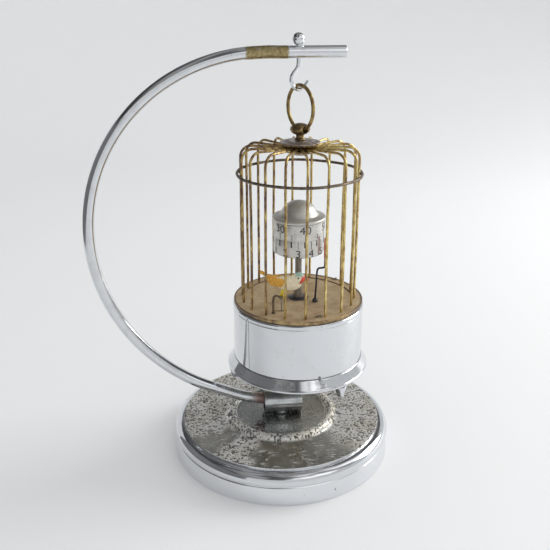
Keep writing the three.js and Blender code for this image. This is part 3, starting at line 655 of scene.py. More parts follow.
def tarnished(name):
    """Oxidised plate of the cage's floor: matte tan-brown, dusty specks and dark smudges, painted shade on
    the back of its inner step and a painted highlight on the front of its edge bead.
    """
    f = Finish(name, Metallic=0.25)
    radius = f.distance()
    cloud = f.noise(11, 5, 0.6)
    grain = f.noise(1.1, 4, 0.7)
    dist, grey = f.cells(2.1)
    speck = f.spots(dist, f.times(grey, 0.17))
    pale, pale_grey = f.cells(1.7, shift=0.3)
    dust = f.spots(pale, f.times(pale_grey, 0.2), 0.02, -0.04)
    color = f.ramp(cloud, *TAN_STOPS)
    color = f.mix(f.times(grain, 0.5), color, (0.38, 0.275, 0.16))
    color = f.mix(f.times(dust, 0.55), color, (0.68, 0.6, 0.46))
    color = f.mix(f.times(speck, 0.75), color, (0.09, 0.06, 0.045))
    ring = f.times(f.step(radius, 0.0052, 0.0062), f.step(radius, 0.0086, 0.0066))
    smudge = f.times(f.step(f.distance((-4, -1)), 0.009, 0.006), f.step(cloud, 0.35, 0.55))
    color = f.mix(f.most(f.times(ring, 0.8), f.times(smudge, 0.6)), color, (0.05, 0.035, 0.03))
    # painted shade: dark brown on the inner wall of the raised step at the back, which faces the view
    kerb_shade = f.times(f.step(radius, 0.0378, 0.0384), f.step(radius, 0.0391, 0.0387))
    rear = f.step(f.plus(f.y, f.times(f.x, 0.4)), -0.012, 0.012)
    color = f.mix(f.times(kerb_shade, rear, 0.9), color, (0.08, 0.04, 0.025))
    edge = f.step(radius, 0.0441, 0.0445)
    # painted highlight: the edge bead is dark brown, with a golden tone only at its front, where it catches
    # the light
    gold_highlight = f.ramp(f.noise(4, 5, 0.6), *BEAD_HIGHLIGHT_STOPS)
    front_highlight = f.step(f.plus(f.y, f.times(cloud, 0.02)), -0.018, -0.03)
    color = f.mix(edge, color, f.mix(front_highlight, (0.13, 0.085, 0.05), gold_highlight))
    roughness = f.mix(edge, f.step(cloud, 0.3, 0.7, 0.75, 0.58), (0.35,) * 3)
    height = f.less(f.plus(grain, dust), speck)
    return f.finish(color, roughness, None, height, 0.1, 0.7)


def satin(name, rough=(0.25, 0.36)):
    """Silvered drum: fine turned lines round it and a soft mottling."""
    f = Finish(name, Metallic=0.92)
    lines = f.noise(2.0, 3, 0.6, (0.12, 0.12, 6.0))
    cloud = f.noise(6, 5, 0.6)
    color = f.mix(f.step(cloud, 0.35, 0.7), (0.7, 0.69, 0.66), (0.58, 0.57, 0.54))
    color = f.mix(f.times(lines, 0.2), color, (0.42, 0.42, 0.4))
    roughness = f.step(lines, 0.3, 0.7, *rough)
    return f.finish(color, roughness, None, lines, 0.02, 0.3)


def paint(name, light, dark, size=1.6, rough=0.5, gloss=0.0):
    """Hand-laid paint: two close tones, small brush grain."""
    f = Finish(name, Coat_Weight=gloss)
    tone = f.noise(size, 5, 0.65)
    color = f.mix(f.step(tone, 0.35, 0.65), light, dark)
    roughness = f.step(tone, 0.3, 0.7, rough - 0.08, rough + 0.12)
    return f.finish(color, roughness, None, tone, 0.04, 0.4)


def tip_paint():
    """Pointer tip: red blade with painted light: dark red on one side of its middle for its shaded face,
    orange on the other for its lit face and edge.
    """
    f = Finish("tip_paint", Coat_Weight=0.2)
    grain = f.noise(1.3, 5, 0.65)
    across = f.plus(f.x, f.times(grain, 0.0006))
    middle = POINTER_TIP[0] * MM + 0.0003
    # painted light: dark red for the blade's shaded face, orange for its lit face and edge
    color = f.mix(f.step(across, middle - 0.0003, middle + 0.0003), (0.5, 0.055, 0.035), (0.78, 0.3, 0.07))
    color = f.mix(f.times(f.step(grain, 0.55, 0.7), 0.5), color, (0.66, 0.15, 0.06))
    return f.finish(color, f.step(grain, 0.3, 0.7, 0.35, 0.5), None, grain, 0.04, 0.4)


def bird_paint():
    """Cream body, turquoise cap, red bib and orange rump, blended like brushed paint."""
    f = Finish("bird_paint", Coat_Weight=0.15)
    grain = f.noise(1.2, 5, 0.65)
    wave = f.times(f.less(grain, 0.5), 0.003)
    z = f.plus(f.z, wave)
    x = f.plus(f.x, wave)
    color = f.mix(f.step(grain, 0.3, 0.7), (0.8, 0.74, 0.56), (0.68, 0.58, 0.38))
    color = f.mix(f.step(x, -0.0035, -0.007), color, (0.62, 0.31, 0.04))
    cap = f.times(f.step(z, 0.0146, 0.0154), f.step(x, 0.0062, 0.0074), f.step(x, 0.0128, 0.0118))
    color = f.mix(cap, color, f.mix(grain, (0.2, 0.36, 0.29), (0.42, 0.55, 0.46)))
    face = f.less(x, f.times(f.less(z, 0.0105), 0.4))
    bib = f.times(f.step(face, 0.0089, 0.0095), f.step(z, 0.0156, 0.015), f.step(z, 0.0092, 0.0098))
    color = f.mix(bib, color, (0.68, 0.07, 0.05))
    worn = f.step(f.noise(0.9, 6, 0.75, shift=0.3), 0.63, 0.7)
    color = f.mix(f.times(worn, 0.6), color, (0.24, 0.2, 0.15))
    roughness = f.step(grain, 0.3, 0.7, 0.4, 0.62)
    return f.finish(color, roughness, None, grain, 0.04, 0.5)


def wing_paint():
    """Yellow-orange feathers with brown bars across them."""
    f = Finish("wing_paint", Coat_Weight=0.1)
    grain = f.noise(1.0, 5, 0.7)
    slant = f.plus(f.times(f.x, 0.9), f.times(f.z, 0.55))
    bars = f.calc("SINE", f.plus(f.times(slant, 3400.0), f.times(grain, 3.0)))
    color = f.mix(f.step(grain, 0.35, 0.65), (0.72, 0.4, 0.04), (0.6, 0.27, 0.03))
    color = f.mix(f.times(f.step(bars, 0.35, 0.8), 0.5), color, (0.26, 0.12, 0.02))
    color = f.mix(f.step(f.x, -0.001, 0.0025), color, (0.76, 0.62, 0.3))
    return f.finish(color, f.step(grain, 0.3, 0.7, 0.4, 0.6), None, bars, 0.05, 0.4)


def felt_cloth():
    f = Finish("felt_cloth", Roughness=0.95, Sheen_Weight=0.3)
    fibres = f.noise(0.5, 8, 0.8)
    color = f.mix(fibres, (0.03, 0.07, 0.045), (0.09, 0.16, 0.11))
    return f.finish(color, None, None, fibres, 0.2, 0.8)


bright_chrome = chrome("bright_chrome", 0.02, 0.12, (0.03, 0.07))
case_chrome = chrome("case_chrome", 0.09, 0.25, (0.04, 0.1), 0.3)
socket_chrome = chrome("socket_chrome", 0.06, 0.9, (0.16, 0.26), 0.6)
steel = brass("steel", STEEL_STOPS, 4.0, (1, 1, 4), (0.25, 0.4), 1.0)
shaft_steel = brass("shaft_steel", SHAFT_STOPS, 3.0, (1, 1, 0.6), (0.35, 0.6), 0.6)
# lean 0.045: painted light on the wires' +X side, painted shade on their -X side
wire_brass = brass("wire_brass", GOLD_STOPS, 3.0, (1, 1, 0.3), (0.25, 0.5), 0.9, 0.0, 0.045)
ring_brass = brass("ring_brass", RING_STOPS, 4.0, (1, 1, 0.8), (0.22, 0.5), 0.95, 0.35)
finial_brass = brass("finial_brass", OLIVE_STOPS, 3.2, (1, 1, 1), (0.22, 0.5), 0.95, 0.1)
brown_brass = brass("brown_brass", BROWN_STOPS, 3.0, (1, 1, 1), (0.35, 0.6), 0.85, 0.8)
disc_grey = brass("disc_grey", DISC_STOPS, 4.0, (1, 1, 1), (0.3, 0.5), 0.85, 0.5)
brass("movement_brass", MOVEMENT_STOPS, 5.0, (1, 1, 1), (0.22, 0.35), 1.0)
floor_tan = tarnished("floor_tan")
drum_satin = satin("drum_satin")
dome_satin = satin("dome_satin", (0.42, 0.52))
ink = paint("ink", (0.012, 0.012, 0.014), (0.03, 0.03, 0.034), 0.8, 0.5)
black_wire = paint("black_wire", (0.01, 0.01, 0.013), (0.03, 0.026, 0.03), 1.2, 0.35, 0.2)
leg_paint = paint("leg_paint", (0.85, 0.68, 0.06), (0.7, 0.48, 0.04), 0.9, 0.45, 0.1)
beak_paint = paint("beak_paint", (0.62, 0.06, 0.03), (0.5, 0.1, 0.04), 0.8, 0.4, 0.1)
eye_paint = paint("eye_paint", (0.01, 0.01, 0.01), (0.02, 0.02, 0.02), 0.5, 0.2, 0.4)
feather_paint = bird_paint()
barred_paint = wing_paint()
felt_cloth()

# --- stand
BASE_TOP = 24.3
DISH_TOP = 24.5
base_skirt = [(79.6, 0), (79.5, 2.5), (79.3, 5), (78.6, 12.6), (77.8, 13.4), (78.3, 14.3)]
base_bead = arc(72.8, 16, 6.7, -8, 90, 18) + [(72.5, 22.5), (72.4, 24.1), (72.1, BASE_TOP)]
base_flat = [(66, BASE_TOP), (50, BASE_TOP), (42.2, BASE_TOP)]
base_ridge = arc(37.4, DISH_TOP, 3.5, 10, 165, 16)
base_dish = [(33.2, DISH_TOP), (20, DISH_TOP), (3.3, DISH_TOP)]
base_inside = [(3.3, 22.7), (71, 22.7), (73.2, 21), (76.4, 19.6), (77.6, 16), (76.2, 13)]
base_inside += [(77.3, 9), (77.4, 0)]
base_profile = base_skirt + base_bead + base_flat + base_ridge + base_dish + base_inside


def hand_spun(angle, r, z):
    """Slow unevenness of a spun sheet."""
    return 0.07 * math.sin(3 * angle + 0.6) + 0.04 * math.sin(7 * angle + z * 0.2) if r > 40 else 0


base_part = lathe(base_profile, 224, 0.5, hand_spun)
piece("base_plate", base_part, "stand", base_chrome(), ["base_shell"], ON_TABLE)


def bend(degrees):
    """Point of the arm's bow, which is a slightly oval ring, long towards its upper left."""
    angle = math.radians(degrees)
    radius = 123.2 + 2.6 * math.cos(2 * (angle - 0.75 * math.pi))
    x, z = polar(radius, angle)
    return x - 5.9, 0, z + 161.2


arm_line = [(ARM_END, 0, ARM_TOP), (32, 0, ARM_TOP), (22, 0, ARM_TOP), (11, 0, ARM_TOP), (0, 0, ARM_TOP)]
arm_line += [bend(d) for d in range(92, 253, 10)]
arm_line += [(-27.5, 0, 39.2), (-14.5, 0, 36.4), (-5.5, 0, 34.7), (1.5, 0, SOCKET_Z), (7.5, 0, SOCKET_Z)]
arm_part = hollow_tube(smooth_path(arm_line, 7), 4.0, 3.1, 56)
arm = piece("curved_arm", arm_part, "stand", tube_chrome(), ["arm_tube"], ON_TABLE)
stem_hole = lathe([(0, -8), (1.6, -8), (1.6, 8), (0, 8)], 32, 0)
carve(arm, [placed(stem_hole, Matrix.Translation((STEM_X, 0, ARM_TOP)))])

socket_profile = [
    (0, 14.7), (7.3, 14.7), (7.5, 15.1), (8.6, 15.1), (8.6, 2), (8.6, -12.9), (7.8, -12.9),
    (7.4, -12.6), (7.4, 0.1), (4.3, 1.4), (4.3, 9.1), (0, 9.1),
]
lying = Matrix.Translation((0, 0, SOCKET_Z)) @ Matrix.Rotation(math.pi / 2, 4, "Y")
socket_parts = [
    placed(lathe(socket_profile, 96, 0.8), lying),
    lathe([(0, 24.8), (5.2, 24.8), (5.2, 27.2), (0, 27.2)], 64, 0.3),
]
piece("arm_holder", socket_parts, "stand", holder_chrome(), ["arm_socket"], ON_TABLE)

# --- hook, ball and ring
stem = polar(STEM_X - HANG, -HOOK_TURN)
hook_bend = [
    (*stem, 277.8), (-2.2, 0.5, 275.2), (-3.6, 0.3, 273.4), (-5.5, 0.1, 271.6), (-6.9, 0, 269.5),
    (-7.2, 0, 267.3), (-6.3, 0, 264.7), (-4.3, 0, 262.5), (-2, 0, 261.4), (0, 0, 261.2),
    (2.3, 0, 262), (4.2, 0, 263.9), (5.7, 0, 265.7),
]
hook_line = smooth_path([(*stem, BALL_Z), (*stem, 284), *hook_bend], 6)
hook_part = sweep(hook_line, 1.3, 24, square=0.6, depth=0.5)
piece("hook_wire", hook_part, "hook", bright_chrome, ["hook_rod"], ON_HOOK)
ball_profile = arc(0, BALL_Z, BALL_R, -60, 90, 28)
ball_profile[-1] = (0, BALL_Z + BALL_R)
ball_part = lathe([(0, BALL_SEAT), (1.9, BALL_SEAT), *ball_profile], 64, 0.1)
piece("ball", ball_part, "hook", bright_chrome, ["ball_nut"], ON_STEM)
ring_line = [(x, 0, z) for x, z in arc(0, 0, RING_R, 0, 360, 96)[:-1]]
ring_part = sweep(ring_line, 1.2, 24, closed=True)
piece("bail_ring", ring_part, "ring", ring_brass, ["hanging_ring"], ON_RING)

# --- finial, discs and cage
finial_ball = [(6.6 * x, 236.1 + 3.9 * z) for x, z in arc(0, 0, 1, -66, 90, 22)]
finial_ball[-1] = (0, 240.0)
finial_profile = [(0, 219), (2, 219), (2, 229.2), (3.7, 229.2), (3.5, 230), (2.8, 230.5), (2.6, 231.4)]
finial_part = lathe(finial_profile + finial_ball, 80, 0.3)
finial = piece("finial_ball", finial_part, "clock", finial_brass, ["finial"])
ring_hole = lathe([(0, -9), (2.1, -9), (2.1, 9), (0, 9)], 32, 0)
across = Matrix.Rotation(RING_TURN, 4, "Z") @ Matrix.Rotation(math.pi / 2, 4, "Y")
carve(finial, [placed(ring_hole, Matrix.Translation((0, 0, 236.35)) @ across)])


def dented(angle, r, z):
    """Slow dents of a thin disc's rim."""
    return 0.12 * math.sin(5 * angle + 1) + 0.08 * math.sin(11 * angle) if r > 8 else 0


cap_profile = [
    (2.4, 227.2), (13.0, 227.2), (13.3, 227.5), (13.25, 227.9), (12.6, 228.1), (9.3, 228.3),
    (8.9, 228.7), (6, 228.9), (2.4, 228.9),
]
piece("cap_disc", lathe(cap_profile, 96, 0.3, dented), "clock", disc_grey, ["top_disc"])
dish_profile = [(2.4, 225.2), (10.4, 225.2), (12, 226.1), (12.9, 226.9), (12.9, 227.15), (2.4, 227.15)]
piece("cap_dish", lathe(dish_profile, 96, 0.3, dented), "clock", finial_brass)
under_profile = [(2.4, 219.4), (5, 219.4), (10.6, 221.6), (10.8, 222.8), (2.4, 222.8)]
piece("clamp_disc", lathe(under_profile, 80, 0.4), "clock", finial_brass, ["under_disc"])


def cage_wire_line():
    """Radial run, shoulder and long drop of one wire, each slightly uneven by hand."""
    shoulder = arc(CAGE_R - 7.5, 217.1, 7.5, 88, 2, 9)
    line = [(6.2, 224.0), (14, 224.0), (22, 224.2), *shoulder]
    line += [(CAGE_R, z) for z in (206, 196, 184, 170, 156, 142, 129, 119, 113)]
    lean = draw.uniform(-0.45, 0.45)
    bow = draw.uniform(-0.3, 0.25)
    points = []
    for r, z in line:
        drop = min(max((205 - z) / 88, 0), 1)
        wave = math.sin(math.pi * drop)
        points.append((r + bow * wave, lean * wave + draw.uniform(-0.05, 0.05), z))
    return smooth_path(points, 3)


for i in range(WIRE_COUNT):
    number = f"{i + 1:02d}"
    turn = Matrix.Rotation(WIRE_FIRST + i * TAU / WIRE_COUNT, 4, "Z")
    wire = placed(sweep(cage_wire_line(), 0.88, 14), turn)
    piece(f"bar_{number}", wire, "clock", wire_brass, [f"cage_wire_{number}"])

hoop_line = [(*polar(HOOP_R, TAU * k / 180), HOOP_Z + 0.12 * math.sin(5 * TAU * k / 180)) for k in range(180)]
solder = []
for i in range(WIRE_COUNT):
    angle = WIRE_FIRST + i * TAU / WIRE_COUNT
    spot = (*polar(CAGE_R + 0.95, angle), HOOP_Z)
    solder.append(ellipsoid(spot, (0.7, 1.0, 0.95), yaw=angle, around=12, rows=8))
hoop_parts = [sweep(hoop_line, 0.95, 16, closed=True), *solder]
piece("cage_band", hoop_parts, "clock", brown_brass, ["cage_hoop"])

# --- cage floor
floor_profile = [
    (3.4, 115.6), (45.6, 115.6), (45.6, 117.5), (45.1, 117.9), (44.5, 117.8), (44.1, 117.3),
    (39.2, 117.6), (38.5, 117.5), (38.2, FLOOR_Z), (3.4, FLOOR_Z),
]
floor_part = lathe(floor_profile, 160, 0.3)
floor_plate = piece("cage_floor", floor_part, "clock", floor_tan, ["floor_plate"])
shank_slot = box_part((9, 2, 8), (-1, 0, FLOOR_Z))
carve(floor_plate, [placed(shank_slot, Matrix.Translation((*BIRD_SPOT, 0)) @ NEST_TURN)])


def lump(x, y, half, yaw):
    """Small blob standing on the floor."""
    return ellipsoid((x, y, FLOOR_Z + half[2] * 0.4), half, yaw=yaw, around=20, rows=12)


tab_parts = [lump(8.2, -35.9, (2.6, 1.2, 0.7), 0.3), lump(9.9, -35.5, (1.2, 0.9, 0.9), 0.1)]
piece("floor_tab", tab_parts, "clock", brown_brass)
knob_parts = [lump(33.2, 29.6, (1.6, 1.3, 1.3), 0.7), lump(31.4, 30.6, (1.1, 0.9, 0.8), 0.2)]
piece("rim_knob", knob_parts, "clock", brown_brass)

bush_profile = [(2.55, 112.5), (3.1, 112.5), (3.1, 126.4), (2.75, 127.6), (2.55, 127.6)]
piece("shaft_collar", lathe(bush_profile, 48, 0.2), "clock", shaft_steel, ["shaft_bush"])


def ragged_edge(angle, r, z):
    """Uneven rim of the washer."""
    return 0.5 * math.sin(2 * angle + 0.5) + 0.3 * math.sin(5 * angle) if r > 5 else 0


washer = lathe([(3.15, 117.05), (6.4, 117.05), (6.2, 117.5), (4.4, 117.9), (3.15, 118)], 64, 0.2, ragged_edge)
piece("shaft_washer", washer, "clock", black_wire)


def between(share):
    """Point on the way from the pointer's knee to its tip."""
    return tuple(a + share * (b - a) for a, b in zip(POINTER_KNEE, POINTER_TIP))


pointer_line = [
    (*POINTER_FOOT, 115), (*POINTER_FOOT, 119), (11.1, -9.6, 129), (*POINTER_KNEE, 139.4),
    (*between(0.07), 141.2), (*between(0.26), 142.2), (*between(0.76), 142.9), (*between(0.95), 143.6),
    (*POINTER_TIP, 145.6), (*POINTER_TIP, 152),
]
pointer_boss = lathe([(0, 117.1), (2.0, 117.1), (1.7, 118.6), (1.1, 119.6), (0, 119.6)], 32, 0.3)
pointer_parts = [
    sweep(smooth_path(pointer_line, 6), 0.68, 14),
    placed(pointer_boss, Matrix.Translation((*POINTER_FOOT, 0))),
]
piece("hand_wire", pointer_parts, "clock", black_wire, ["pointer"])
tip_turn = math.atan2(POINTER_TIP[1], POINTER_TIP[0])
tip_at = Matrix.Translation((*POINTER_TIP, 0)) @ Matrix.Rotation(tip_turn, 4, "Z")
tip_rings = []
tip_halves = {150.2: 0.6, 150.5: 1.05, 151.6: 1.3, 158: 1.32, 163.6: 1.3, 164.4: 1.1, 164.6: 0.7}
for z, half in tip_halves.items():
    front = [(-0.42, -half * 0.8), (-0.3, -half), (0.3, -half), (0.42, -half * 0.8)]
    back = [(0.42, half * 0.8), (0.3, half), (-0.3, half), (-0.42, half * 0.8)]
    tip_rings.append([(x, y, z) for x, y in front + back])
tip = skin([[(0, 0, 150.1)], *tip_rings, [(0, 0, 164.65)]])
piece("hand_tip", placed(tip, tip_at), "clock", tip_paint())

perch_line = [
    (*PERCH_FOOT, 115), (*PERCH_FOOT, 121), (*PERCH_FOOT, 126), (-5.3, -4, 128.4), (-4.3, -4, 129.7),
    (-2.8, -4.1, 129.8), (-1.3, -4.1, 129), (-0.4, -3.7, 128),
    (0, -2.4, BIRD_PIVOT_Z), (0, 0, BIRD_PIVOT_Z), (0, 3, BIRD_PIVOT_Z),
]
perch_boss = lathe([(0, 117.05), (1.3, 117.05), (1.1, 117.8), (0, 117.9)], 24, 0.2)
perch_parts = [
    sweep(smooth_path(perch_line, 6), 0.75, 14),
    placed(perch_boss, Matrix.Translation((*PERCH_FOOT, 0))),
]
piece("perch_wire", perch_parts, "clock", brown_brass, ["perch"], ON_NEST)

# --- case
band_profile = [(45.1, 75.3), (CASE_R, 75.3), (CASE_R, 94), (CASE_R, 111.6), (CASE_R - 0.3, 112)]
band_profile += [(CASE_R + 0.05, 112.4), *arc(44.7, 113.7, 1.5, -20, 95, 12), (44.2, 114.6), (45.1, 112.4)]
piece("case_drum", lathe(band_profile, 224, 0.3), "clock", case_chrome, ["case_band"])
seam = wrapped_bar(math.radians(-145), 0.4, 75.6, 111.6, CASE_R - 0.03, 0.06)
piece("case_seam", seam, "clock", black_wire)
pin_angle = math.radians(-79)
pin_at = Matrix.Translation((*polar(47.3, pin_angle), 75.0)) @ Matrix.Rotation(pin_angle, 4, "Z")
pin_at = pin_at @ Matrix.Rotation(math.pi / 2, 4, "Y")
pin = lathe([(0, -2), (1.15, -2), (1.2, 0.1), (0.8, 0.6), (0, 0.7)], 24, 0.2)
piece("case_pin", placed(pin, pin_at), "clock", steel)
flange_profile = [(42.9, 66), (49.5, 66)] + arc(49.4, 67.7, 1.3, -60, 60, 10)
flange_profile += [(49.7, 69.4), (48.8, 71), (47.5, 73), (46.8, 74.4), (46.4, 75)]
flange_profile += [(44.4, 75), (44.4, 66.9), (42.9, 66.9)]
flange_part = lathe(flange_profile, 224, 0.5, hand_spun)
piece("case_skirt", flange_part, "clock", case_chrome, ["case_flange"])
foot_profile = [(0, 57), (1.7, 57), (2.3, 57.7), (2.9, 60.2), (3.9, 64.4), (4, 65.7), (0, 65.7)]
for i, degrees in enumerate((-58, 62, 182)):
    foot = placed(lathe(foot_profile, 40, 0.4), Matrix.Translation((*polar(46.2, math.radians(degrees)), 0)))
    piece(f"cone_foot_{i + 1}", foot, "clock", socket_chrome, [f"foot_{i + 1}"])

# --- drum
minute_profile = [(1.5, 174), (16.6, 174), (16.6, DRUM_SPLIT + 0.08), (DRUM_R, DRUM_SPLIT + 0.08)]
minute_profile += [(DRUM_R, 170), (DRUM_R, 175), (1.5, 175)]
minute_part = lathe(minute_profile, 128, 0.08)
piece("minute_ring", minute_part, "minute_drum", drum_satin, ["minute_band"])
hour_profile = [(2.55, 152), (16.7, 152), (17.5, 152.6), (DRUM_R, 158), (DRUM_R, DRUM_SPLIT)]
hour_profile += [(16.6, DRUM_SPLIT), (16.6, 153), (2.55, 153)]
piece("hour_ring", lathe(hour_profile, 128, 0.08), "hour_drum", drum_satin, ["hour_band"])
dome_profile = [(11, 175.3), (18.1, 175.3), (18.45, 175.8), (18.5, 176.9), (17.8, 177.5), (15.2, 177.9)]
dome_profile += [(13.4, 178.5), (12.3, 179.9)]
dome_profile += [(12.2 * x, 178.6 + 9.4 * z) for x, z in arc(0, 0, 1, 18, 90, 20)[:-1]] + [(0, 188), (0, 187)]
dome_profile += [(11.2 * x, 178.4 + 8.6 * z) for x, z in arc(0, 0, 1, 88, 5, 12)]
dome_part = lathe(dome_profile, 128, 0.3)
piece("drum_dome", dome_part, "minute_drum", dome_satin, ["dome_cap"])


def numeral(text, height, angle, middle, radius=DRUM_R, relief=0.05):
    """Digits of that height, wrapped on the drum round their middle."""
    curve = bpy.data.curves.new("numeral", "FONT")
    curve.body = text
    curve.align_x = "CENTER"
    curve.size = height / 0.69
    curve.extrude = relief / 2
    curve.resolution_u = 6
    writing = shown("numeral", curve)
    graph = bpy.context.evaluated_depsgraph_get()
    mesh = bpy.data.meshes.new_from_object(writing.evaluated_get(graph))
    shape = bmesh.new()
    shape.from_mesh(mesh)
    bmesh.ops.remove_doubles(shape, verts=shape.verts, dist=1e-5)
    xs = [v.co.x for v in shape.verts]
    low, high = min(xs), max(xs)
    cuts = max(2, int((high - low) / 0.5))
    for k in range(1, cuts):
        geometry = list(shape.verts) + list(shape.edges) + list(shape.faces)
        at_x = low + (high - low) * k / cuts
        bmesh.ops.bisect_plane(shape, geom=geometry, plane_co=(at_x, 0, 0), plane_no=(1, 0, 0))
    shape.verts.index_update()
    centre = (low + high) / 2
    verts = []
    for v in shape.verts:
        around = angle + (v.co.x - centre) * 1.1 / radius
        verts.append(Vector((*polar(radius + relief * 0.5 + v.co.z, around), middle + v.co.y - height / 2)))
    faces = [tuple(v.index for v in face.verts) for face in shape.faces]
    shape.free()
    bpy.data.objects.remove(writing)
    bpy.data.curves.remove(curve)
    bpy.data.meshes.remove(mesh)
    return verts, faces


MINUTE_40 = math.radians(-84)
minute_marks = []
for i in range(12):
    angle = MINUTE_40 + i * TAU / 12
    minute_marks.append(wrapped_bar(angle, 0.45, 164.5, 168.6, DRUM_R))
for i in range(6):
    value = (40 + 10 * i - 1) % 60 + 1
    minute_marks.append(numeral(str(value), 5.2, MINUTE_40 + i * TAU / 6, 171.7))
piece("minute_marks", minute_marks, "minute_drum", ink)

HOUR_3 = math.radians(-100)
hour_marks = []
for i in range(12):
    angle = HOUR_3 + i * TAU / 12
    hour_marks.append(wrapped_bar(angle, 0.4, 158.4, 163.7, DRUM_R))
    hour_marks.append(wrapped_bar(angle - TAU / 24, 1.0, 159.6, 163.8, DRUM_R))
    hour_marks.append(numeral(str((3 + i - 1) % 12 + 1), 5.1, angle, 155.3))
piece("hour_marks", hour_marks, "hour_drum", ink)
sleeve = lathe([(1.6, 128.2), (2.3, 128.2), (2.3, 151.9), (1.6, 151.9)], 48, 0.1)
piece("shaft_sleeve", sleeve, "hour_drum", shaft_steel)

# --- bird
body_parts = [
    ellipsoid((1.4, 0, 9.4), (9.4, 4.5, 5.0), 0.12),
    ellipsoid((-5.6, 0, 11.0), (8.2, 3.2, 3.0), 0.35),
    ellipsoid((6.2, 0, 11.2), (4.6, 3.7, 4.3), -0.5),
    ellipsoid((9.2, 0, 13.4), (4.1, 3.6, 3.8), 0.3),
    sweep([(-1.7, 0, 5.8), (-2.0, 0, 4.2), (-2.3, 0, 2.6)], [1.8, 1.1, 0.8], 16),
]
bird = piece("bird_body", body_parts, "bird", feather_paint, ["bird"], ON_BODY)
remeshed(bird, 0.32, 10)


def wing(side):
    """Three overlapping feathers on one flank."""
    feathers = [
        ((-3.2, side * 3.3, 11.0), (6.2, 1.3, 3.0), 0.3),
        ((-7.2, side * 2.9, 11.9), (5.8, 1.0, 1.9), 0.42),
        ((-6.4, side * 3.2, 9.9), (5.0, 0.9, 1.4), 0.22),
    ]
    return joined([ellipsoid(centre, half, tip, yaw=-side * 0.12) for centre, half, tip in feathers])


for side, label in ((1, "far"), (-1, "near")):
    feathered = piece(f"wing_{label}", wing(side), "bird", barred_paint, at=ON_BODY)
    remeshed(feathered, 0.22, 3)
tail_parts = [
    ellipsoid((-13.2, k * 0.75, 15.4 + 0.15 * abs(k)), (4.6, 0.8, 0.7), 0.5, -k * 0.09, 16, 14)
    for k in (-2, -1, 0, 1, 2)
]
piece("tail_feathers", tail_parts, "bird", barred_paint, at=ON_BODY)
beak_parts = [
    sweep([(11.6, 0, 13.1), (13.4, 0, 12.9), (15.0, 0, 12.2), (16.0, 0, 11.5)], [1.5, 1.1, 0.6, 0.15], 16),
    sweep([(11.6, 0, 12.1), (13.2, 0, 11.9), (14.9, 0, 11.4)], [1.1, 0.8, 0.2], 16),
]
piece("beak", beak_parts, "bird", beak_paint, at=ON_BODY)
eyes = [ellipsoid((8.6, side * 3.45, 14.2), (0.6, 0.45, 0.6), around=16, rows=12) for side in (-1, 1)]
piece("eyes", eyes, "bird", eye_paint, at=ON_BODY)
leg_parts = []
for side in (-1, 1):
    leg_bend = ((0.9, 1.6, 6.2), (0.5, 1.35, 4.0), (-0.1, 1.0, 1.9), (0, 0.75, 1.2))
    leg_line = smooth_path([(x, side * y, z) for x, y, z in leg_bend], 4)
    taper = [1.1 - 0.5 * k / (len(leg_line) - 1) for k in range(len(leg_line))]
    leg_parts.append(sweep(leg_line, taper, 14))
eye_bush = lathe([(1.0, -1.2), (1.75, -1.2), (1.75, 1.2), (1.0, 1.2)], 40, 0.3)
leg_parts.append(placed(eye_bush, Matrix.Rotation(math.pi / 2, 4, "X")))
piece("legs", leg_parts, "bird", leg_paint, at=ON_BIRD)
shank_part = sweep([(0, 0, -1.4), (0, 0, -9), (0, 0, -16.2)], 0.5, 12)
piece("rocking_shank", shank_part, "bird", steel, at=ON_BIRD)

# --- carried-over CAD nodes
carried = {
    "movement_brass": "bottom_plate top_plate minute_wheel barrel third_wheel escape_wheel balance_wheel",
    "steel": "socket_bolt bottom_cover minute_arbor hour_pipe mainspring winding_arbor pallet_lever",
    "iron": "base_weight",
    "felt_cloth": "base_pad",
}
carried["movement_brass"] += " setting_knob winding_key"
carried["steel"] += " bird_rocker"
for material_name, node_names in carried.items():
    for node_name in node_names.split():
        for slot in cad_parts[node_name].material_slots:
            slot.material = bpy.data.materials[material_name]

# --- floor, lights and camera
GROUND = -0.02  # just under the base's pad
floor_line = [(300, GROUND), (700, GROUND), (1000, GROUND), *arc(1000, 1100, 1100, -85, 0, 24)]
floor_rings = [[(*polar(r, TAU * k / 96), z) for k in range(96)] for r, z in floor_line]
studio_mesh = mesh_from("studio", skin([[(0, 0, GROUND)], *floor_rings]))
studio_mesh.flip_normals()
studio_mesh.shade_smooth()
backdrop = Finish("backdrop", Roughness=0.6)
backdrop_color = backdrop.mix(backdrop.noise(900, 2), (0.8, 0.815, 0.825), (0.83, 0.84, 0.85))
studio_mesh.materials.append(backdrop.finish(backdrop_color))
shown("studio", studio_mesh)


def softbox(name, position, target, size, watts, color=(1, 1, 1)):
    """Soft rectangular light, in metres, that the camera doesn't see."""
    light = bpy.data.lights.new(name, "AREA")
    light.shape = "RECTANGLE"
    light.size, light.size_y = size
    light.energy = watts
    light.color = color
    lamp = shown(name, light)
    lamp.location = position
    aim = Vector(target) - Vector(position)
    lamp.rotation_euler = aim.to_track_quat("-Z", "Y").to_euler()
    lamp.visible_camera = False
    return lamp


softbox("key_right", (1.25, 0.28, 0.75), (0, 0, 0.12), (0.8, 0.7), 11.5, (1.0, 0.99, 0.97))
softbox("front_low", (-0.2, -1.25, 0.74), (0, 0, 0.25), (0.9, 0.3), 1.2).visible_glossy = False


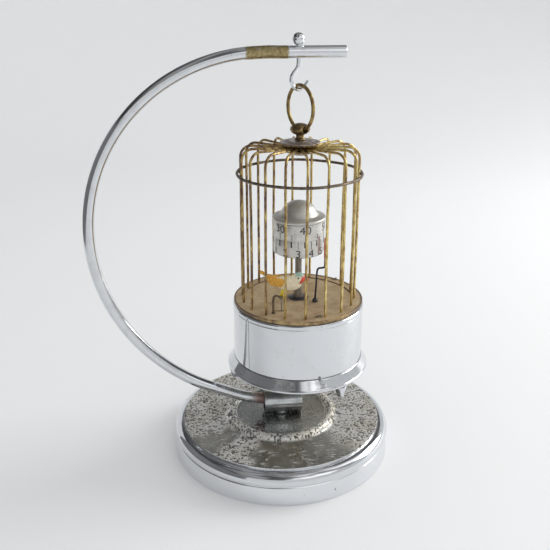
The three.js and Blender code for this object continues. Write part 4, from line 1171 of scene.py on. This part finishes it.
def dark_card(name, corner, along, up, glow):
    """Dim flat card, from a corner and its two sides in metres, that only glossy surfaces see."""
    corner, along, up = Vector(corner), Vector(along), Vector(up)
    mesh = bpy.data.meshes.new(name)
    mesh.from_pydata([corner, corner + along, corner + along + up, corner + up], [], [(0, 1, 2, 3)])
    material = bpy.data.materials.new(name)
    material.use_nodes = True
    shader = material.node_tree.nodes["Principled BSDF"]
    shader.inputs["Base Color"].default_value = (0.02, 0.02, 0.02, 1)
    shader.inputs["Emission Color"].default_value = (glow, glow, glow * 1.03, 1)
    shader.inputs["Emission Strength"].default_value = 1.0
    mesh.materials.append(material)
    card = shown(name, mesh)
    card.visible_camera = False
    card.visible_diffuse = False
    card.visible_shadow = False
    card.visible_transmission = False


dark_card("flag_left", (-0.62, -0.75, 0.0), (0.06, 1.15, 0), (0, 0, 0.5), 0.12)

world = bpy.data.worlds.new("studio_air")
bpy.context.scene.world = world
world.use_nodes = True
air = Nodes(world.node_tree)
direction = air.node("ShaderNodeTexCoord").outputs["Generated"]
split = air.node("ShaderNodeSeparateXYZ", {0: direction})
lit_side = air.vector_calc("DOT_PRODUCT", direction, (0.75, -0.35, 0.2)).outputs["Value"]

# what glossy surfaces reflect: a mottled room, lighter on one side, with a pale streak in front
mottle = air.node("ShaderNodeTexNoise", {"Vector": direction, "Scale": 3.2, "Detail": 3.0}).outputs[0]
room = air.plus(air.step(lit_side, -0.5, 0.1, 0.06, 0.3), air.step(lit_side, 0.22, 0.65, 0.0, 0.75))
room = air.times(room, air.step(mottle, 0.4, 0.6, 0.3, 1.25))
streak = air.times(air.step(split.outputs[2], 0.24, 0.3), air.step(split.outputs[2], 0.44, 0.38))
streak = air.times(streak, air.step(split.outputs[1], -0.3, -0.7, 0.0, 1.1))
room = air.plus(room, streak)

# what lights everything else: even air
even = air.step(lit_side, -0.8, 0.8, 0.72, 0.84)
path = air.node("ShaderNodeLightPath")
glow = air.node("ShaderNodeMix", {0: path.outputs["Is Glossy Ray"], 2: even, 3: room}, data_type="FLOAT")
air.tree.links.new(glow.outputs[0], air.tree.nodes["Background"].inputs["Color"])

CAMERA_AT = (-0.06244, -0.47346, 0.31795)
view_forward = Vector((0.113327, 0.926464, -0.358917))
view_right = Vector((0.992602, -0.121417, 0.0))
view_up = view_right.cross(view_forward)
camera_data = bpy.data.cameras.new("camera")
camera_data.lens = 47.69
camera_data.sensor_width = 36
camera = shown("camera", camera_data)
axes = Matrix((view_right, view_up, -view_forward)).transposed().to_4x4()
camera.matrix_world = Matrix.Translation(CAMERA_AT) @ axes
bpy.context.scene.camera = camera
bpy.context.scene.view_settings.view_transform = "Standard"
